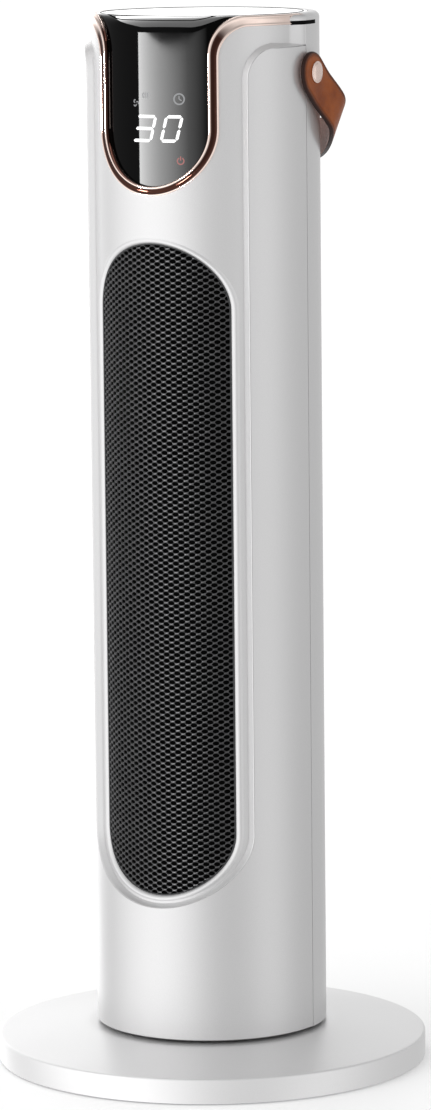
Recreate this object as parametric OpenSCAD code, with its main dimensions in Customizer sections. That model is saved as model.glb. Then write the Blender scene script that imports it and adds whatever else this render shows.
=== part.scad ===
// Ceramic tower heater: a round tower with a display glass above an outlet grille, which swings
// from side to side on a heavy disc base and carries a strap handle on its back.
// Millimetres, +Z up, the front faces -Y, and the origin lies under the centre of the base.

/* [Tower] */
// Height from the floor to the top of the tower
total_h = 600; // [590:1:620]
// Outer diameter of the shells
tower_d = 132; // [130:1:134]
// Wall of the rear shell
shell_wall = 2.5; // [2:0.1:3]
// How far the front panel lies behind the outer face of the shells
panel_inset = 4; // [3.5:0.1:4.5]
// Wall of the front panel
panel_wall = 2.5; // [2:0.1:2.5]
// Rounding of the rear shell's top edge
top_round = 3.5; // [2:0.5:4]

/* [Front shell opening] */
// Width of the opening, straight across
opening_w = 98; // [94:1:100]
// Height of the opening's lowest point
opening_bottom = 99; // [96:0.5:99]
// Height of the front shell's top edge
opening_top = 582.5; // [578:0.5:586]
// Radius of the front shell's top corners
opening_corner = 18; // [12:1:20]

/* [Outlet grille] */
// Width of the grille with its frame, straight across
grille_w = 92; // [88:0.5:93]
// Lowest point of the grille frame
grille_bottom = 101.5; // [100:0.5:104]
// Highest point of the grille frame
grille_top = 477.5; // [470:0.5:480]
// Width of the grille frame's bead
bead_w = 2.8; // [2:0.1:3]

/* [Control glass and trim] */
// Width of the glass tongue, straight across
glass_w = 64; // [60:1:66]
// Height of the centre of the tongue's round end
tongue_z = 538; // [534:1:542]
// Width of the trim band beside the glass
trim_w = 5.3; // [4.5:0.1:6]
// Height of the trim band along the top rim
rim_h = 6; // [5:0.5:6.5]
// Radius of the trim band's shoulders
shoulder_r = 18; // [14:1:20]
// Rounding where the glass turns over into the top
glass_round = 9; // [6:1:10]

/* [Base] */
// Diameter of the base disc
base_d = 246; // [240:1:260]
// Height of the base at its rim
base_rim = 15; // [15:0.5:17]
// Height of the base under the tower
base_h = 21; // [20:0.5:22]
// Gap between the base and the tower
base_gap = 2; // [2:0.5:3]
// Number of feet and of base screws
foot_count = 6; // [4:1:8]

/* [Oscillation drive] */
// Teeth of the fixed gear on the spindle
hub_teeth = 60; // [60:4:60]
// Teeth of the drive pinion
pinion_teeth = 15; // [15:1:15]
// Tooth module
gear_module = 1; // [1:0.1:1]

/* [Blower] */
// Diameter of the cross-flow wheel
wheel_d = 50; // [44:1:50]
// Distance of the wheel's axis behind the tower's axis
wheel_y = 18; // [16:1:18]
// Number of blades
blade_count = 24; // [18:1:30]

/* [Strap handle] */
// Width of the strap
strap_w = 26; // [20:1:28]
// Thickness of the strap
strap_t = 3; // [2.5:0.5:3]
// Height of the strap's pivots
strap_z = 567; // [565:1:570]
// Angle of the resting strap below the horizontal
strap_drop = 42; // [36:1:42]
// Distance from the pivots to the strap's farthest point
strap_reach = 100; // [100:1:104]

/* [Hidden] */
$fn = 96;
fit_gap = 0.05;                          // radial clearance of a shaft in its bore

tower_r = tower_d / 2;
tower_z = base_h + base_gap;
panel_r = tower_r - panel_inset;
panel_in = panel_r - panel_wall;
glass_r = panel_r - 2;
cap_r = glass_r - 0.2;
shell_in = tower_r - shell_wall;
glass_wall = 2.5;
trim_out = glass_w / 2 + trim_w;
rim_z = total_h - rim_h;

base_r = base_d / 2;
plate_z = 1.5;                           // underside of the base plate, the height of a foot
plate_top = plate_z + 2;
cover_wall = 2.5;
cover_in = base_h - cover_wall;          // underside of the base cover's top
foot_r = 9;
foot_ring = base_r - 19;
screw_ring = base_r - 11;
switch_y = 75;                           // tip-over switch behind the centre
plunger_r = 2.5;

spindle_r = 18;
bush_r = 20;
floor_t = 3;
floor_top = tower_z + floor_t;
boss_top = floor_top + 2.5;
ring_z = boss_top + 1.2;                 // underside of the snap ring
hub_z = ring_z + 2.3;                    // underside of the hub gear
hub_gear_t = 5;
gear_gap = gear_module * (hub_teeth + pinion_teeth) / 2;
shaft_r = 2.5;
bracket_z = 42;                          // underside of the drive bracket's plate
bracket_top = bracket_z + 2;

rail_x = 46;                             // inner face of the inner frame's rails
rail_t = 3;
rail_y = 6;
rail_top = 590;
motor_plate_z = 60;
motor_z = motor_plate_z + 2;
motor_h = 36;
duct_z = 106;                            // underside of the duct's bottom plate
duct_t = 2;
duct_h = 354;                            // clear height inside the duct
duct_top_z = duct_z + duct_t + duct_h;
wheel_z = duct_z + duct_t + 2;
wheel_h = duct_h - 4;
wheel_r = wheel_d / 2;
heater_x = 36;
heater_front = -40;
heater_back = -24;

panel_back = 58.5;                       // inner face of the service panel
panel_face = panel_back + 2;
rocker_z = 70;
rocker_tilt = 9;                         // tilt of the rocker at each end of its travel
gland_z = 43;
cord_hole_r = 3.75;

intake_w = 84;
intake_bottom = 110;
intake_top = 470;

boss_x = 54;                             // bosses of the shell screws
boss_heights = [40, 300, 540];
pivot_y = 5;
stud_r = 3;
strap_x = tower_r + 1 + strap_t / 2;     // middle of the strap's thickness at the pivots

// ---------------------------------------------------------------- shared shapes

// Tube about the Z axis
module tube(r_out, r_in, z0, z1) {
    translate([0, 0, z0]) difference() {
        cylinder(r = r_out, h = z1 - z0);
        translate([0, 0, -1]) cylinder(r = r_in, h = z1 - z0 + 2);
    }
}

// Half of a tube: side 1 is the rear half, side -1 the front half
module half_tube(r_out, r_in, z0, z1, side) {
    intersection() {
        tube(r_out, r_in, z0, z1);
        translate([-200, side > 0 ? 0 : -200, z0 - 1]) cube([400, 200, z1 - z0 + 2]);
    }
}

// Box from its lowest to its highest corner
module box(low, high) {
    translate(low) cube(high - low);
}

// Pushes an outline drawn in X and Z through the front of the tower
module through_front() {
    rotate([90, 0, 0]) linear_extrude(200) children();
}

// Pushes an outline drawn in X and Z through the back of the tower
module through_back() {
    translate([0, 200, 0]) rotate([90, 0, 0]) linear_extrude(200) children();
}

// Copies around the Z axis at one radius
module ring_of(count, radius, start = 0) {
    for (i = [0 : count - 1]) rotate(start + i * 360 / count) translate([radius, 0, 0]) children();
}

// Both the right and the left copy
module both_sides() {
    children();
    mirror([1, 0, 0]) children();
}

// Upright outline with two round ends
module stadium(half_w, z0, z1) {
    translate([-half_w, z0 + half_w]) square([2 * half_w, z1 - z0 - 2 * half_w]);
    translate([0, z0 + half_w]) circle(half_w);
    translate([0, z1 - half_w]) circle(half_w);
}

// Upright outline with a round lower end, open at the top
module tongue(half_w, z_mid, z1) {
    translate([-half_w, z_mid]) square([2 * half_w, z1 - z_mid]);
    translate([0, z_mid]) circle(half_w);
}

// Flare that turns an upright edge on the tower's front into its top edge with a hollow
// quarter round: the edge lies half_w from the middle on a wall of radius r
module flare(half_w, r, z_top, round_r) {
    half_angle = round_r / r * 90 / PI;
    both_sides() rotate(asin(half_w / r) + half_angle) through_front() difference() {
        reach = r * sin(half_angle);
        inner = 4;
        lift = 0.05;
        translate([-reach - inner, z_top - round_r]) square([2 * reach + inner, round_r + 20]);
        translate([reach, z_top - round_r + lift]) circle(round_r);
    }
}

// ---------------------------------------------------------------- gears

pressure_angle = 25;
function involute(a) = tan(a) * 180 / PI - a;
// Half the angle that a tooth takes up at radius r, less a little backlash
function tooth_half(teeth, r, r_base) =
    90 / teeth + involute(pressure_angle) - involute(acos(min(1, r_base / r)))
    - 0.08 / r * 180 / PI;

module gear_outline(teeth) {
    pitch_r = gear_module * teeth / 2;
    r_base = pitch_r * cos(pressure_angle);
    root_r = pitch_r - 1.25 * gear_module;
    tip_r = pitch_r + 0.95 * gear_module;
    flank_r = max(root_r, r_base);
    radii = [root_r, for (i = [0 : 4]) flank_r + (tip_r - flank_r) * i / 4];
    polygon([
        for (t = [0 : teeth - 1], side = [-1, 1], i = [0 : 5])
            let (r = radii[side < 0 ? i : 5 - i],
                 a = t * 360 / teeth + side * tooth_half(teeth, max(r, flank_r), r_base))
            [r * cos(a), r * sin(a)]
    ]);
}

// ---------------------------------------------------------------- base

module base_cover() color("silver") {
    edge = 1.2;
    crown_r = tower_r + 4;
    difference() {
        union() {
            rotate_extrude() {
                polygon([
                    [base_r - edge, base_rim], [crown_r, base_h], [spindle_r + 4, base_h],
                    [spindle_r + 4, cover_in], [crown_r, cover_in],
                    [base_r - cover_wall, base_rim - cover_wall], [base_r - cover_wall, 0.8],
                    [base_r, 0.8], [base_r, base_rim - edge], [base_r - edge, base_rim - edge]
                ]);
                translate([base_r - edge, base_rim - edge]) circle(edge);
            }
            ring_of(foot_count, screw_ring, 30) translate([0, 0, plate_top])
                cylinder(r = 4, h = base_rim - 1 - plate_top);
        }
        ring_of(foot_count, screw_ring, 30) translate([0, 0, plate_top - 1]) cylinder(r = 1.5, h = 7.5);
    }
}

module base_plate() color("dimgray") difference() {
    translate([0, 0, plate_z]) cylinder(r = base_r - cover_wall - 0.2, h = plate_top - plate_z);
    ring_of(foot_count, screw_ring, 30) cylinder(r = 1.6, h = 10);
    ring_of(foot_count, screw_ring, 30) cylinder(r = 3.1, h = plate_z + 1.2);
    translate([0, switch_y, 0]) cylinder(r = plunger_r + fit_gap, h = 10);
}

module base_weight() color("darkslategray") difference() {
    tube(base_r - 17, 44, plate_top, base_rim - cover_wall - 1);
    box([-9, switch_y - 9, 0], [9, switch_y + 9, 20]);
}

module rubber_feet() color("black")
    ring_of(foot_count, foot_ring) cylinder(r = foot_r, h = plate_z);

module base_screws() color("silver") ring_of(foot_count, screw_ring, 30) {
    translate([0, 0, plate_z]) cylinder(r = 3, h = 1.2);
    translate([0, 0, plate_z]) cylinder(r = 1.5, h = 7);
}

module spindle() color("lightgray") difference() {
    rotate_extrude() {
        translate([12, 6]) square([spindle_r - 12, hub_z + hub_gear_t + 4 - 6]);
        translate([12, cover_in - 3]) square([24, 3]);
    }
    tube(spindle_r + 5, spindle_r - 1, ring_z, ring_z + 1.5);
}

module thrust_washer() color("white") tube(32, spindle_r + 1, base_h, tower_z);

module snap_ring() color("dimgray") difference() {
    tube(spindle_r + 4, spindle_r - 1, ring_z, ring_z + 1.5);
    box([0, -3, ring_z - 1], [40, 3, ring_z + 3]);
}

module hub_gear() color("ivory") difference() {
    translate([0, 0, hub_z]) linear_extrude(hub_gear_t) gear_outline(hub_teeth);
    translate([0, 0, hub_z - 1]) cylinder(r = spindle_r, h = hub_gear_t + 2);
}

module spindle_nut() color("silver") difference() {
    translate([0, 0, hub_z + hub_gear_t]) cylinder(r = 25, h = 4, $fn = 6);
    translate([0, 0, hub_z]) cylinder(r = spindle_r, h = 20);
}

module tip_switch() color("dimgray") difference() {
    box([-8, switch_y - 8, plate_top], [8, switch_y + 8, base_rim - 3]);
    translate([0, switch_y, 0]) cylinder(r = 4.3, h = 10);
}

module tip_plunger() color("white") translate([0, switch_y, 0]) {
    cylinder(r = plunger_r, h = 8);
    translate([0, 0, 7.5]) cylinder(r = 4, h = 2);
}

// ---------------------------------------------------------------- oscillation drive

module tower_floor() color("dimgray") difference() {
    union() {
        translate([0, 0, tower_z]) cylinder(r = panel_in - 0.1, h = floor_t);
        translate([0, 0, tower_z]) cylinder(r = 26, h = boss_top - tower_z);
    }
    cylinder(r = bush_r, h = 60);
}

module floor_bush() color("white") {
    tube(bush_r, spindle_r + fit_gap, tower_z, boss_top);
    tube(25, spindle_r + fit_gap, boss_top, boss_top + 1);
}

module drive_bracket() color("lightsteelblue") {
    difference() {
        intersection() {
            box([-29, -56, bracket_z], [29, -20, bracket_top]);
            cylinder(r = 58, h = 60);
        }
        translate([0, -gear_gap, bracket_z - 1]) cylinder(r = 6, h = 5);
    }
    both_sides() for (y = [-48, -26]) translate([25, y, floor_top])
        cylinder(r = 3, h = bracket_z - floor_top);
}

module drive_motor() color("silver") difference() {
    translate([0, -gear_gap, bracket_top]) cylinder(r = 19, h = 15);
    translate([0, -gear_gap, bracket_top - 1]) cylinder(r = shaft_r + fit_gap, h = 11);
}

module pinion_shaft() color("lightgray")
    translate([0, -gear_gap, hub_z - 3]) cylinder(r = shaft_r, h = bracket_top + 8 - hub_z + 3);

module drive_pinion() color("ivory") difference() {
    translate([0, -gear_gap, hub_z - 0.5]) rotate(90 + 180 / pinion_teeth)
        linear_extrude(hub_gear_t + 1) gear_outline(pinion_teeth);
    translate([0, -gear_gap, hub_z - 2]) cylinder(r = shaft_r, h = hub_gear_t + 4);
}

// ---------------------------------------------------------------- blower and its frame

module inner_frame() color("lightsteelblue")
    both_sides() box([rail_x, -rail_y, floor_top], [rail_x + rail_t, rail_y, rail_top]);

// Level plate between the rails, with a round hole on the wheel's axis
module level_plate(z, t, y0, y1, hole_r) difference() {
    intersection() {
        box([-57, y0, z], [57, y1, z + t]);
        translate([0, 0, z - 1]) cylinder(r = 57, h = t + 2);
    }
    both_sides() box([rail_x, -rail_y, z - 1], [rail_x + rail_t, rail_y, z + t + 1]);
    translate([0, wheel_y, z - 1]) cylinder(r = hole_r, h = t + 2);
}

module motor_plate() color("lightsteelblue") level_plate(motor_plate_z, 2, -30, 42, 8);

module blower_motor() color("silver") translate([0, wheel_y, motor_z]) difference() {
    cylinder(r = 21, h = motor_h);
    translate([0, 0, 4]) cylinder(r = 15, h = motor_h - 8);
    translate([0, 0, 4]) cylinder(r = shaft_r + fit_gap, h = motor_h);
}

module motor_rotor() color("slategray") translate([0, wheel_y, motor_z]) difference() {
    translate([0, 0, 6]) cylinder(r = 13, h = motor_h - 12);
    cylinder(r = shaft_r, h = motor_h);
}

module blower_shaft() color("lightgray") translate([0, wheel_y, 0]) {
    translate([0, 0, motor_z + 4.3]) cylinder(r = shaft_r, h = wheel_z + 2 - motor_z - 4.3);
    translate([0, 0, wheel_z + wheel_h - 2]) cylinder(r = shaft_r, h = 12);
}

// Point on a blade: it sweeps forward as it goes out from the inner to the outer radius
function blade_point(u, thickness) =
    let (r = wheel_r - 6 + 5.8 * u, a = 24 * pow(u, 1.5) + thickness / r * 90 / PI)
    [r * cos(a), r * sin(a)];

module blower_wheel() color("darkgray") translate([0, wheel_y, wheel_z]) {
    disc_count = 7;
    disc_t = 2;
    for (i = [0 : disc_count - 1]) translate([0, 0, i * (wheel_h - disc_t) / (disc_count - 1)])
        tube(wheel_r, i == 0 || i == disc_count - 1 ? shaft_r : wheel_r - 8, 0, disc_t);
    for (k = [0 : blade_count - 1]) rotate(k * 360 / blade_count)
        translate([0, 0, 1]) linear_extrude(wheel_h - 2) polygon([
            for (i = [0 : 5]) blade_point(i / 5, 0.8),
            for (i = [5 : -1 : 0]) blade_point(i / 5, -0.8)
        ]);
}

module upper_bush() color("darkgoldenrod") translate([0, wheel_y, 0])
    tube(7, shaft_r + fit_gap, duct_top_z + duct_t, duct_top_z + duct_t + 8);

// Wall that follows the wheel at a growing distance, then runs straight to the heater
module scroll_housing() color("gainsboro") {
    start = 75;
    sweep = 140;
    steps = 20;
    wall = 1.5;
    translate([0, 0, duct_z + duct_t]) linear_extrude(duct_h) polygon([
        for (i = [0 : steps]) let (a = start + sweep * i / steps, r = wheel_r + 3 + 12 * i / steps)
            [r * cos(a), wheel_y + r * sin(a)],
        [-heater_x + wall, heater_back], [-heater_x, heater_back],
        for (i = [steps : -1 : 0])
            let (a = start + sweep * i / steps, r = wheel_r + 3 + wall + 12 * i / steps)
            [r * cos(a), wheel_y + r * sin(a)]
    ]);
}

// Short curved tongue on the other side of the wheel, which keeps the two air streams apart
module air_stabiliser() color("gainsboro") {
    wall = 1.5;
    translate([0, 0, duct_z + duct_t]) linear_extrude(duct_h) polygon([
        for (a = [5 : -5 : -30]) (wheel_r + 2) * [cos(a), sin(a)] + [0, wheel_y],
        [heater_x - wall, heater_back], [heater_x, heater_back],
        for (a = [-30 : 5 : 5]) (wheel_r + 2 + wall) * [cos(a), sin(a)] + [0, wheel_y]
    ]);
}

module duct_bottom() color("gainsboro") level_plate(duct_z, duct_t, heater_back, 46, 5);

module duct_top() color("gainsboro") level_plate(duct_top_z, duct_t, heater_back, 46, 3.5);

// ---------------------------------------------------------------- ceramic heater

stone_cols = 3;
stone_w = 3.4;
window_x = heater_x - 5;
fin_w = (2 * window_x - stone_cols * stone_w) / (stone_cols + 1);
heater_z0 = duct_z + duct_t;
heater_z1 = duct_top_z;
window_z0 = heater_z0 + 6;
window_z1 = heater_z1 - 6;

module heater_frame() color("saddlebrown") difference() {
    box([-heater_x, heater_front, heater_z0], [heater_x, heater_back, heater_z1]);
    box([-window_x, heater_front - 1, window_z0], [window_x, heater_back + 1, window_z1]);
}

module ceramic_stones() color("white") {
    stone_rows = 14;
    pitch = (window_z1 - window_z0) / stone_rows;
    for (c = [1 : stone_cols], k = [0 : stone_rows - 1])
        translate([-window_x + c * fin_w + (c - 1) * stone_w, heater_front + 2, window_z0 + k * pitch + 1])
            cube([stone_w, heater_back - heater_front - 4, pitch - 2]);
}

module heat_fins() color("lightgray") {
    fin_rows = 42;
    strip = 0.8;
    depth = heater_back - heater_front - 3;
    pitch = (window_z1 - window_z0 - 1) / fin_rows;
    for (c = [0 : stone_cols]) translate([-window_x + c * (fin_w + stone_w), heater_front + 1.5, 0]) {
        for (x = [0, fin_w - strip])
            translate([x, 0, window_z0]) cube([strip, depth, window_z1 - window_z0]);
        for (k = [0 : fin_rows]) translate([0, 0, window_z0 + k * pitch]) cube([fin_w, depth, 0.8]);
    }
}

module heater_terminals() color("gold")
    for (x = [-16, 0, 16]) box([x - 3, -33, heater_z1], [x + 3, -32, heater_z1 + 12]);

module thermal_cutout() color("silver") translate([-24, -6, duct_top_z + duct_t]) {
    cylinder(r = 7, h = 6);
    translate([-12, -3, 0]) cube([24, 6, 1]);
}

// ---------------------------------------------------------------- electronics

board_z0 = 488;
board_back = rail_y + 1.6;

module power_board() color("darkgreen")
    box([-rail_x - rail_t, rail_y, board_z0], [rail_x + rail_t, board_back, 580]);

module board_parts() color("black") {
    for (x = [-38, -18]) box([x, board_back, 500], [x + 15, board_back + 15, 519]);
    box([8, board_back, 498], [34, board_back + 20, 520]);
    for (x = [-30, -14, 2]) translate([x, board_back, 545]) rotate([-90, 0, 0])
        cylinder(r = 6, h = 16);
    box([18, board_back, 535], [38, board_back + 4, 565]);
}

touch_back = -50;

module touch_board() color("darkgreen")
    box([-24, touch_back, 514], [24, touch_back + 1.6, 588]);

module digit_module() color("white") box([-18, touch_back - 3, 526], [18, touch_back, 550]);

module buzzer() color("black") translate([12, touch_back + 1.6, 575]) rotate([-90, 0, 0])
    cylinder(r = 6, h = 7);

// ---------------------------------------------------------------- front of the tower

module trim_outline_cut() {
    through_front() tongue(trim_out, tongue_z, total_h + 20);
    flare(trim_out, panel_r, rim_z, shoulder_r);
}

module glass_outline_cut() {
    through_front() tongue(glass_w / 2, tongue_z, total_h + 20);
    flare(glass_w / 2, glass_r, total_h, shoulder_r + 3);
}

module front_panel() color("silver") difference() {
    union() {
        half_tube(panel_r, panel_in, tower_z, rim_z, -1);
        intersection() {
            both_sides() for (z = boss_heights) translate([boss_x, 0, z]) rotate([90, 0, 0])
                cylinder(r = 4, h = 28);
            cylinder(r = panel_r - 1, h = total_h);
        }
    }
    both_sides() for (z = boss_heights) translate([boss_x, 1, z]) rotate([90, 0, 0])
        cylinder(r = 1.5, h = 17);
    trim_outline_cut();
    through_front() stadium(grille_w / 2, grille_bottom, grille_top);
}

module front_shell() color("silver") difference() {
    half_tube(tower_r, panel_r + 0.3, tower_z, opening_top, -1);
    through_front() tongue(opening_w / 2, opening_bottom + opening_w / 2, total_h + 20);
    flare(opening_w / 2, tower_r, opening_top, opening_corner);
}

module outlet_grille() color("black") {
    slot_pitch = 9;
    slot_h = 5.5;
    lip = 4;
    half_w = grille_w / 2 - bead_w;
    difference() {
        intersection() {
            half_tube(panel_r - 1, panel_r - 2, grille_bottom, grille_top, -1);
            through_front() stadium(half_w, grille_bottom + bead_w, grille_top - bead_w);
        }
        for (z = [grille_bottom + lip + slot_pitch : slot_pitch : grille_top - lip - slot_pitch]) {
            // width of the stadium at this height, less the lip
            inset = max(0, grille_bottom + half_w - z, z - grille_top + half_w);
            w = sqrt(half_w * half_w - inset * inset) - lip;
            for (x = [-w : (2 * w + 3) / 3 : w - 1])
                box([x, -100, z - slot_h / 2], [x + (2 * w + 3) / 3 - 3, 0, z + slot_h / 2]);
        }
    }
}

module grille_frame() color("gainsboro") difference() {
    intersection() {
        half_tube(panel_r + 0.9, panel_in + 0.2, grille_bottom - 5, grille_top + 5, -1);
        through_front() stadium(grille_w / 2, grille_bottom, grille_top);
    }
    through_front() stadium(grille_w / 2 - bead_w, grille_bottom + bead_w, grille_top - bead_w);
}

// Black glass: a flat top disc that turns over into a tongue down the front
module control_glass() color("black") {
    cap_z = total_h - glass_wall;
    bend_z = total_h - glass_round;
    intersection() {
        rotate_extrude() {
            translate([glass_r - glass_wall, tongue_z - glass_w]) square([glass_wall, bend_z - tongue_z + glass_w]);
            translate([0, cap_z]) square([glass_r - glass_round, glass_wall]);
            intersection() {
                translate([glass_r - glass_round, bend_z]) difference() {
                    circle(glass_round);
                    circle(glass_round - glass_wall);
                }
                translate([glass_r - glass_round, bend_z]) square(glass_round);
            }
        }
        union() {
            glass_outline_cut();
            translate([0, 0, cap_z - 10]) cylinder(r = 30, h = 30);
        }
    }
    difference() {
        translate([0, 0, cap_z]) cylinder(r = cap_r, h = glass_wall);
        glass_outline_cut();
    }
    both_sides() box([22, -53.5, 516], [24, touch_back, 588]);
}

module trim_band() color("rosybrown") difference() {
    half_tube(panel_r + 0.8, glass_r + 0.2, tongue_z - trim_out, total_h, -1);
    difference() {
        box([-100, -100, 400], [100, 1, rim_z]);
        trim_outline_cut();
    }
    glass_outline_cut();
}

// ---------------------------------------------------------------- back of the tower

module intake_outline(margin) {
    r = 6;
    w = intake_w / 2 - margin;
    z0 = intake_bottom + margin;
    h = intake_top - intake_bottom - 2 * margin;
    translate([-w + r, z0]) square([2 * w - 2 * r, h]);
    translate([-w, z0 + r]) square([2 * w, h - 2 * r]);
    for (x = [-w + r, w - r], z = [z0 + r, z0 + h - r]) translate([x, z]) circle(r);
}

module rear_shell() color("silver") difference() {
    union() {
        rotate_extrude(angle = 180) {
            translate([shell_in, tower_z]) square([shell_wall, total_h - top_round - tower_z]);
            intersection() {
                translate([tower_r - top_round, total_h - top_round]) circle(top_round);
                translate([tower_r - top_round, total_h - top_round]) square(top_round);
            }
            translate([cap_r + 0.1, total_h - shell_wall])
                square([tower_r - top_round - cap_r - 0.1, shell_wall]);
        }
        intersection() {
            both_sides() for (z = boss_heights) translate([boss_x, 0, z]) rotate([-90, 0, 0])
                cylinder(r = 4, h = 40);
            cylinder(r = tower_r - 1, h = total_h);
        }
    }
    both_sides() for (z = boss_heights) translate([boss_x, -1, z]) rotate([-90, 0, 0]) {
        cylinder(r = 1.6, h = 60);
        translate([0, 0, 28]) cylinder(r = 3.2, h = 40);
    }
    through_back() intake_outline(0);
    box([-16.5, 45, gland_z - 9.5], [16.5, 80, rocker_z + 22]);
    both_sides() translate([50, pivot_y, strap_z]) rotate([0, 90, 0]) cylinder(r = stud_r, h = 30);
}

module intake_grille() color("silver") {
    slot_pitch = 9;
    slot_w = 22;
    difference() {
        intersection() {
            half_tube(tower_r, tower_r - 2, intake_bottom, intake_top, 1);
            through_back() intake_outline(0.15);
        }
        for (z = [intake_bottom + 12 : slot_pitch : intake_top - 12], x = [-25, 0, 25])
            box([x - slot_w / 2, 40, z - 2.5], [x + slot_w / 2, 80, z + 2.5]);
    }
}

module dust_filter() color("dimgray") intersection() {
    half_tube(tower_r - 3, tower_r - 4, intake_bottom + 4, intake_top - 4, 1);
    box([-40, 0, intake_bottom], [40, 100, intake_top]);
}

module service_panel() color("dimgray") difference() {
    box([-18, panel_back, gland_z - 12], [18, panel_face, rocker_z + 26]);
    box([-7, panel_back - 1, rocker_z - 12], [7, panel_face + 1, rocker_z + 12]);
    translate([0, panel_back - 1, gland_z]) rotate([-90, 0, 0]) cylinder(r = 6, h = 5);
}

module switch_body() color("black") difference() {
    union() {
        box([-7, panel_back - 16, rocker_z - 12], [7, panel_face, rocker_z + 12]);
        box([-8.5, panel_face, rocker_z - 13.5], [8.5, panel_face + 1.2, rocker_z + 13.5]);
    }
    translate([-5.5, panel_back, rocker_z]) rotate([0, 90, 0]) cylinder(r = 11.3, h = 11);
    translate([-7, panel_back, rocker_z]) rotate([0, 90, 0]) cylinder(r = 1.05, h = 14);
}

module switch_rocker() color("black") translate([0, panel_back, rocker_z]) rotate([-rocker_tilt, 0, 0]) {
    intersection() {
        translate([-5.3, 0, 0]) rotate([90, 0, 90]) linear_extrude(10.6)
            polygon([[-4, -10.2], [4.2, -10.2], [2.2, 0], [4.2, 10.2], [-4, 10.2]]);
        translate([-6, 0, 0]) rotate([0, 90, 0]) cylinder(r = 11, h = 12);
    }
    translate([-6.8, 0, 0]) rotate([0, 90, 0]) cylinder(r = 1, h = 13.6);
}

module cord_gland() color("black") translate([0, 0, gland_z]) rotate([-90, 0, 0]) difference() {
    union() {
        translate([0, 0, panel_back - 6]) cylinder(r = 6, h = 8);
        translate([0, 0, panel_face]) cylinder(r = 8.5, h = 2);
        translate([0, 0, panel_face + 2]) cylinder(r1 = 7.5, r2 = 6, h = 2.5);
    }
    translate([0, 0, panel_back - 7]) cylinder(r = cord_hole_r, h = 20);
}

module shell_screws() color("silver") both_sides() for (z = boss_heights)
    translate([boss_x, 0, z]) rotate([-90, 0, 0]) {
        translate([0, 0, -14]) cylinder(r = 1.5, h = 43);
        translate([0, 0, 28]) cylinder(r = 3, h = 2);
    }

// ---------------------------------------------------------------- strap handle

// Middle line of the right half of the strap, from the pivot to the back: the leg leans out a
// little, then one curve bends it round to the back. First value: sideways, second: distance
// from the pivots.
leg_s = 26;
leg_straight = 9;
leg_lean = 1.8;
bend_start = [strap_x + leg_lean, leg_s];
bend_ctrl_side = [strap_x + leg_lean, 2 * leg_s];
bend_ctrl_back = [30, strap_reach];
bend_end = [0, strap_reach];
function leg_point(u) =
    let (v = max(0, (leg_s * u - leg_straight) / (leg_s - leg_straight)))
    [strap_x + leg_lean * v * v * (3 - 2 * v), leg_s * u];
function bend_point(u) =
    pow(1 - u, 3) * bend_start + 3 * u * pow(1 - u, 2) * bend_ctrl_side
    + 3 * u * u * (1 - u) * bend_ctrl_back + pow(u, 3) * bend_end;
half_path = [
    for (i = [0 : 5]) leg_point(i / 6),
    for (i = [0 : 16]) bend_point(i / 16)
];
strap_path = [
    for (p = half_path) p,
    for (i = [len(half_path) - 2 : -1 : 0]) [-half_path[i].x, half_path[i].y]
];
function path_normal(i) =
    let (n = len(strap_path) - 1, d = strap_path[min(n, i + 1)] - strap_path[max(0, i - 1)])
    [-d.y, d.x] / norm(d);

module strap() color("saddlebrown") {
    count = len(strap_path) - 1;
    difference() {
        translate([0, pivot_y, strap_z]) rotate([-strap_drop, 0, 0]) {
            translate([0, 0, -strap_w / 2]) linear_extrude(strap_w) polygon([
                for (i = [0 : count]) strap_path[i] + path_normal(i) * strap_t / 2,
                for (i = [count : -1 : 0]) strap_path[i] - path_normal(i) * strap_t / 2
            ]);
            both_sides() translate([strap_x - strap_t / 2, 0, 0]) rotate([0, 90, 0])
                cylinder(r = strap_w / 2, h = strap_t);
        }
        translate([-100, pivot_y, strap_z]) rotate([0, 90, 0])
            cylinder(r = stud_r + fit_gap, h = 200);
    }
}

module at_pivots() both_sides() translate([0, pivot_y, strap_z]) rotate([0, 90, 0]) children();

module strap_studs() color("rosybrown") at_pivots() {
    head_x = strap_x + strap_t / 2 + 0.3;
    translate([0, 0, 58]) cylinder(r = stud_r, h = head_x - 58);
    intersection() {
        translate([0, 0, head_x]) cylinder(r = 6.2, h = 3);
        translate([0, 0, head_x + 2 - 10.6]) sphere(r = 10.6);
    }
}

module strap_washers() color("rosybrown") at_pivots()
    tube(5.5, stud_r + fit_gap, tower_r + 0.1, tower_r + 0.9);

module strap_nuts() color("silver") at_pivots() difference() {
    translate([0, 0, 59]) cylinder(r = 4.8, h = 3.6, $fn = 6);
    cylinder(r = stud_r, h = 100);
}

base_cover();
base_plate();
base_weight();
rubber_feet();
base_screws();
spindle();
thrust_washer();
snap_ring();
hub_gear();
spindle_nut();
tip_switch();
tip_plunger();
tower_floor();
floor_bush();
drive_bracket();
drive_motor();
pinion_shaft();
drive_pinion();
inner_frame();
motor_plate();
blower_motor();
motor_rotor();
blower_shaft();
blower_wheel();
upper_bush();
scroll_housing();
air_stabiliser();
duct_bottom();
duct_top();
heater_frame();
ceramic_stones();
heat_fins();
heater_terminals();
thermal_cutout();
power_board();
board_parts();
touch_board();
digit_module();
buzzer();
front_panel();
front_shell();
rear_shell();
outlet_grille();
grille_frame();
control_glass();
trim_band();
intake_grille();
dust_filter();
service_panel();
switch_body();
switch_rocker();
cord_gland();
shell_screws();
strap();
strap_studs();
strap_washers();
strap_nuts();
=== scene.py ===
import math
import bmesh
import bpy
import numpy as np
from mathutils import Matrix, Vector


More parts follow.
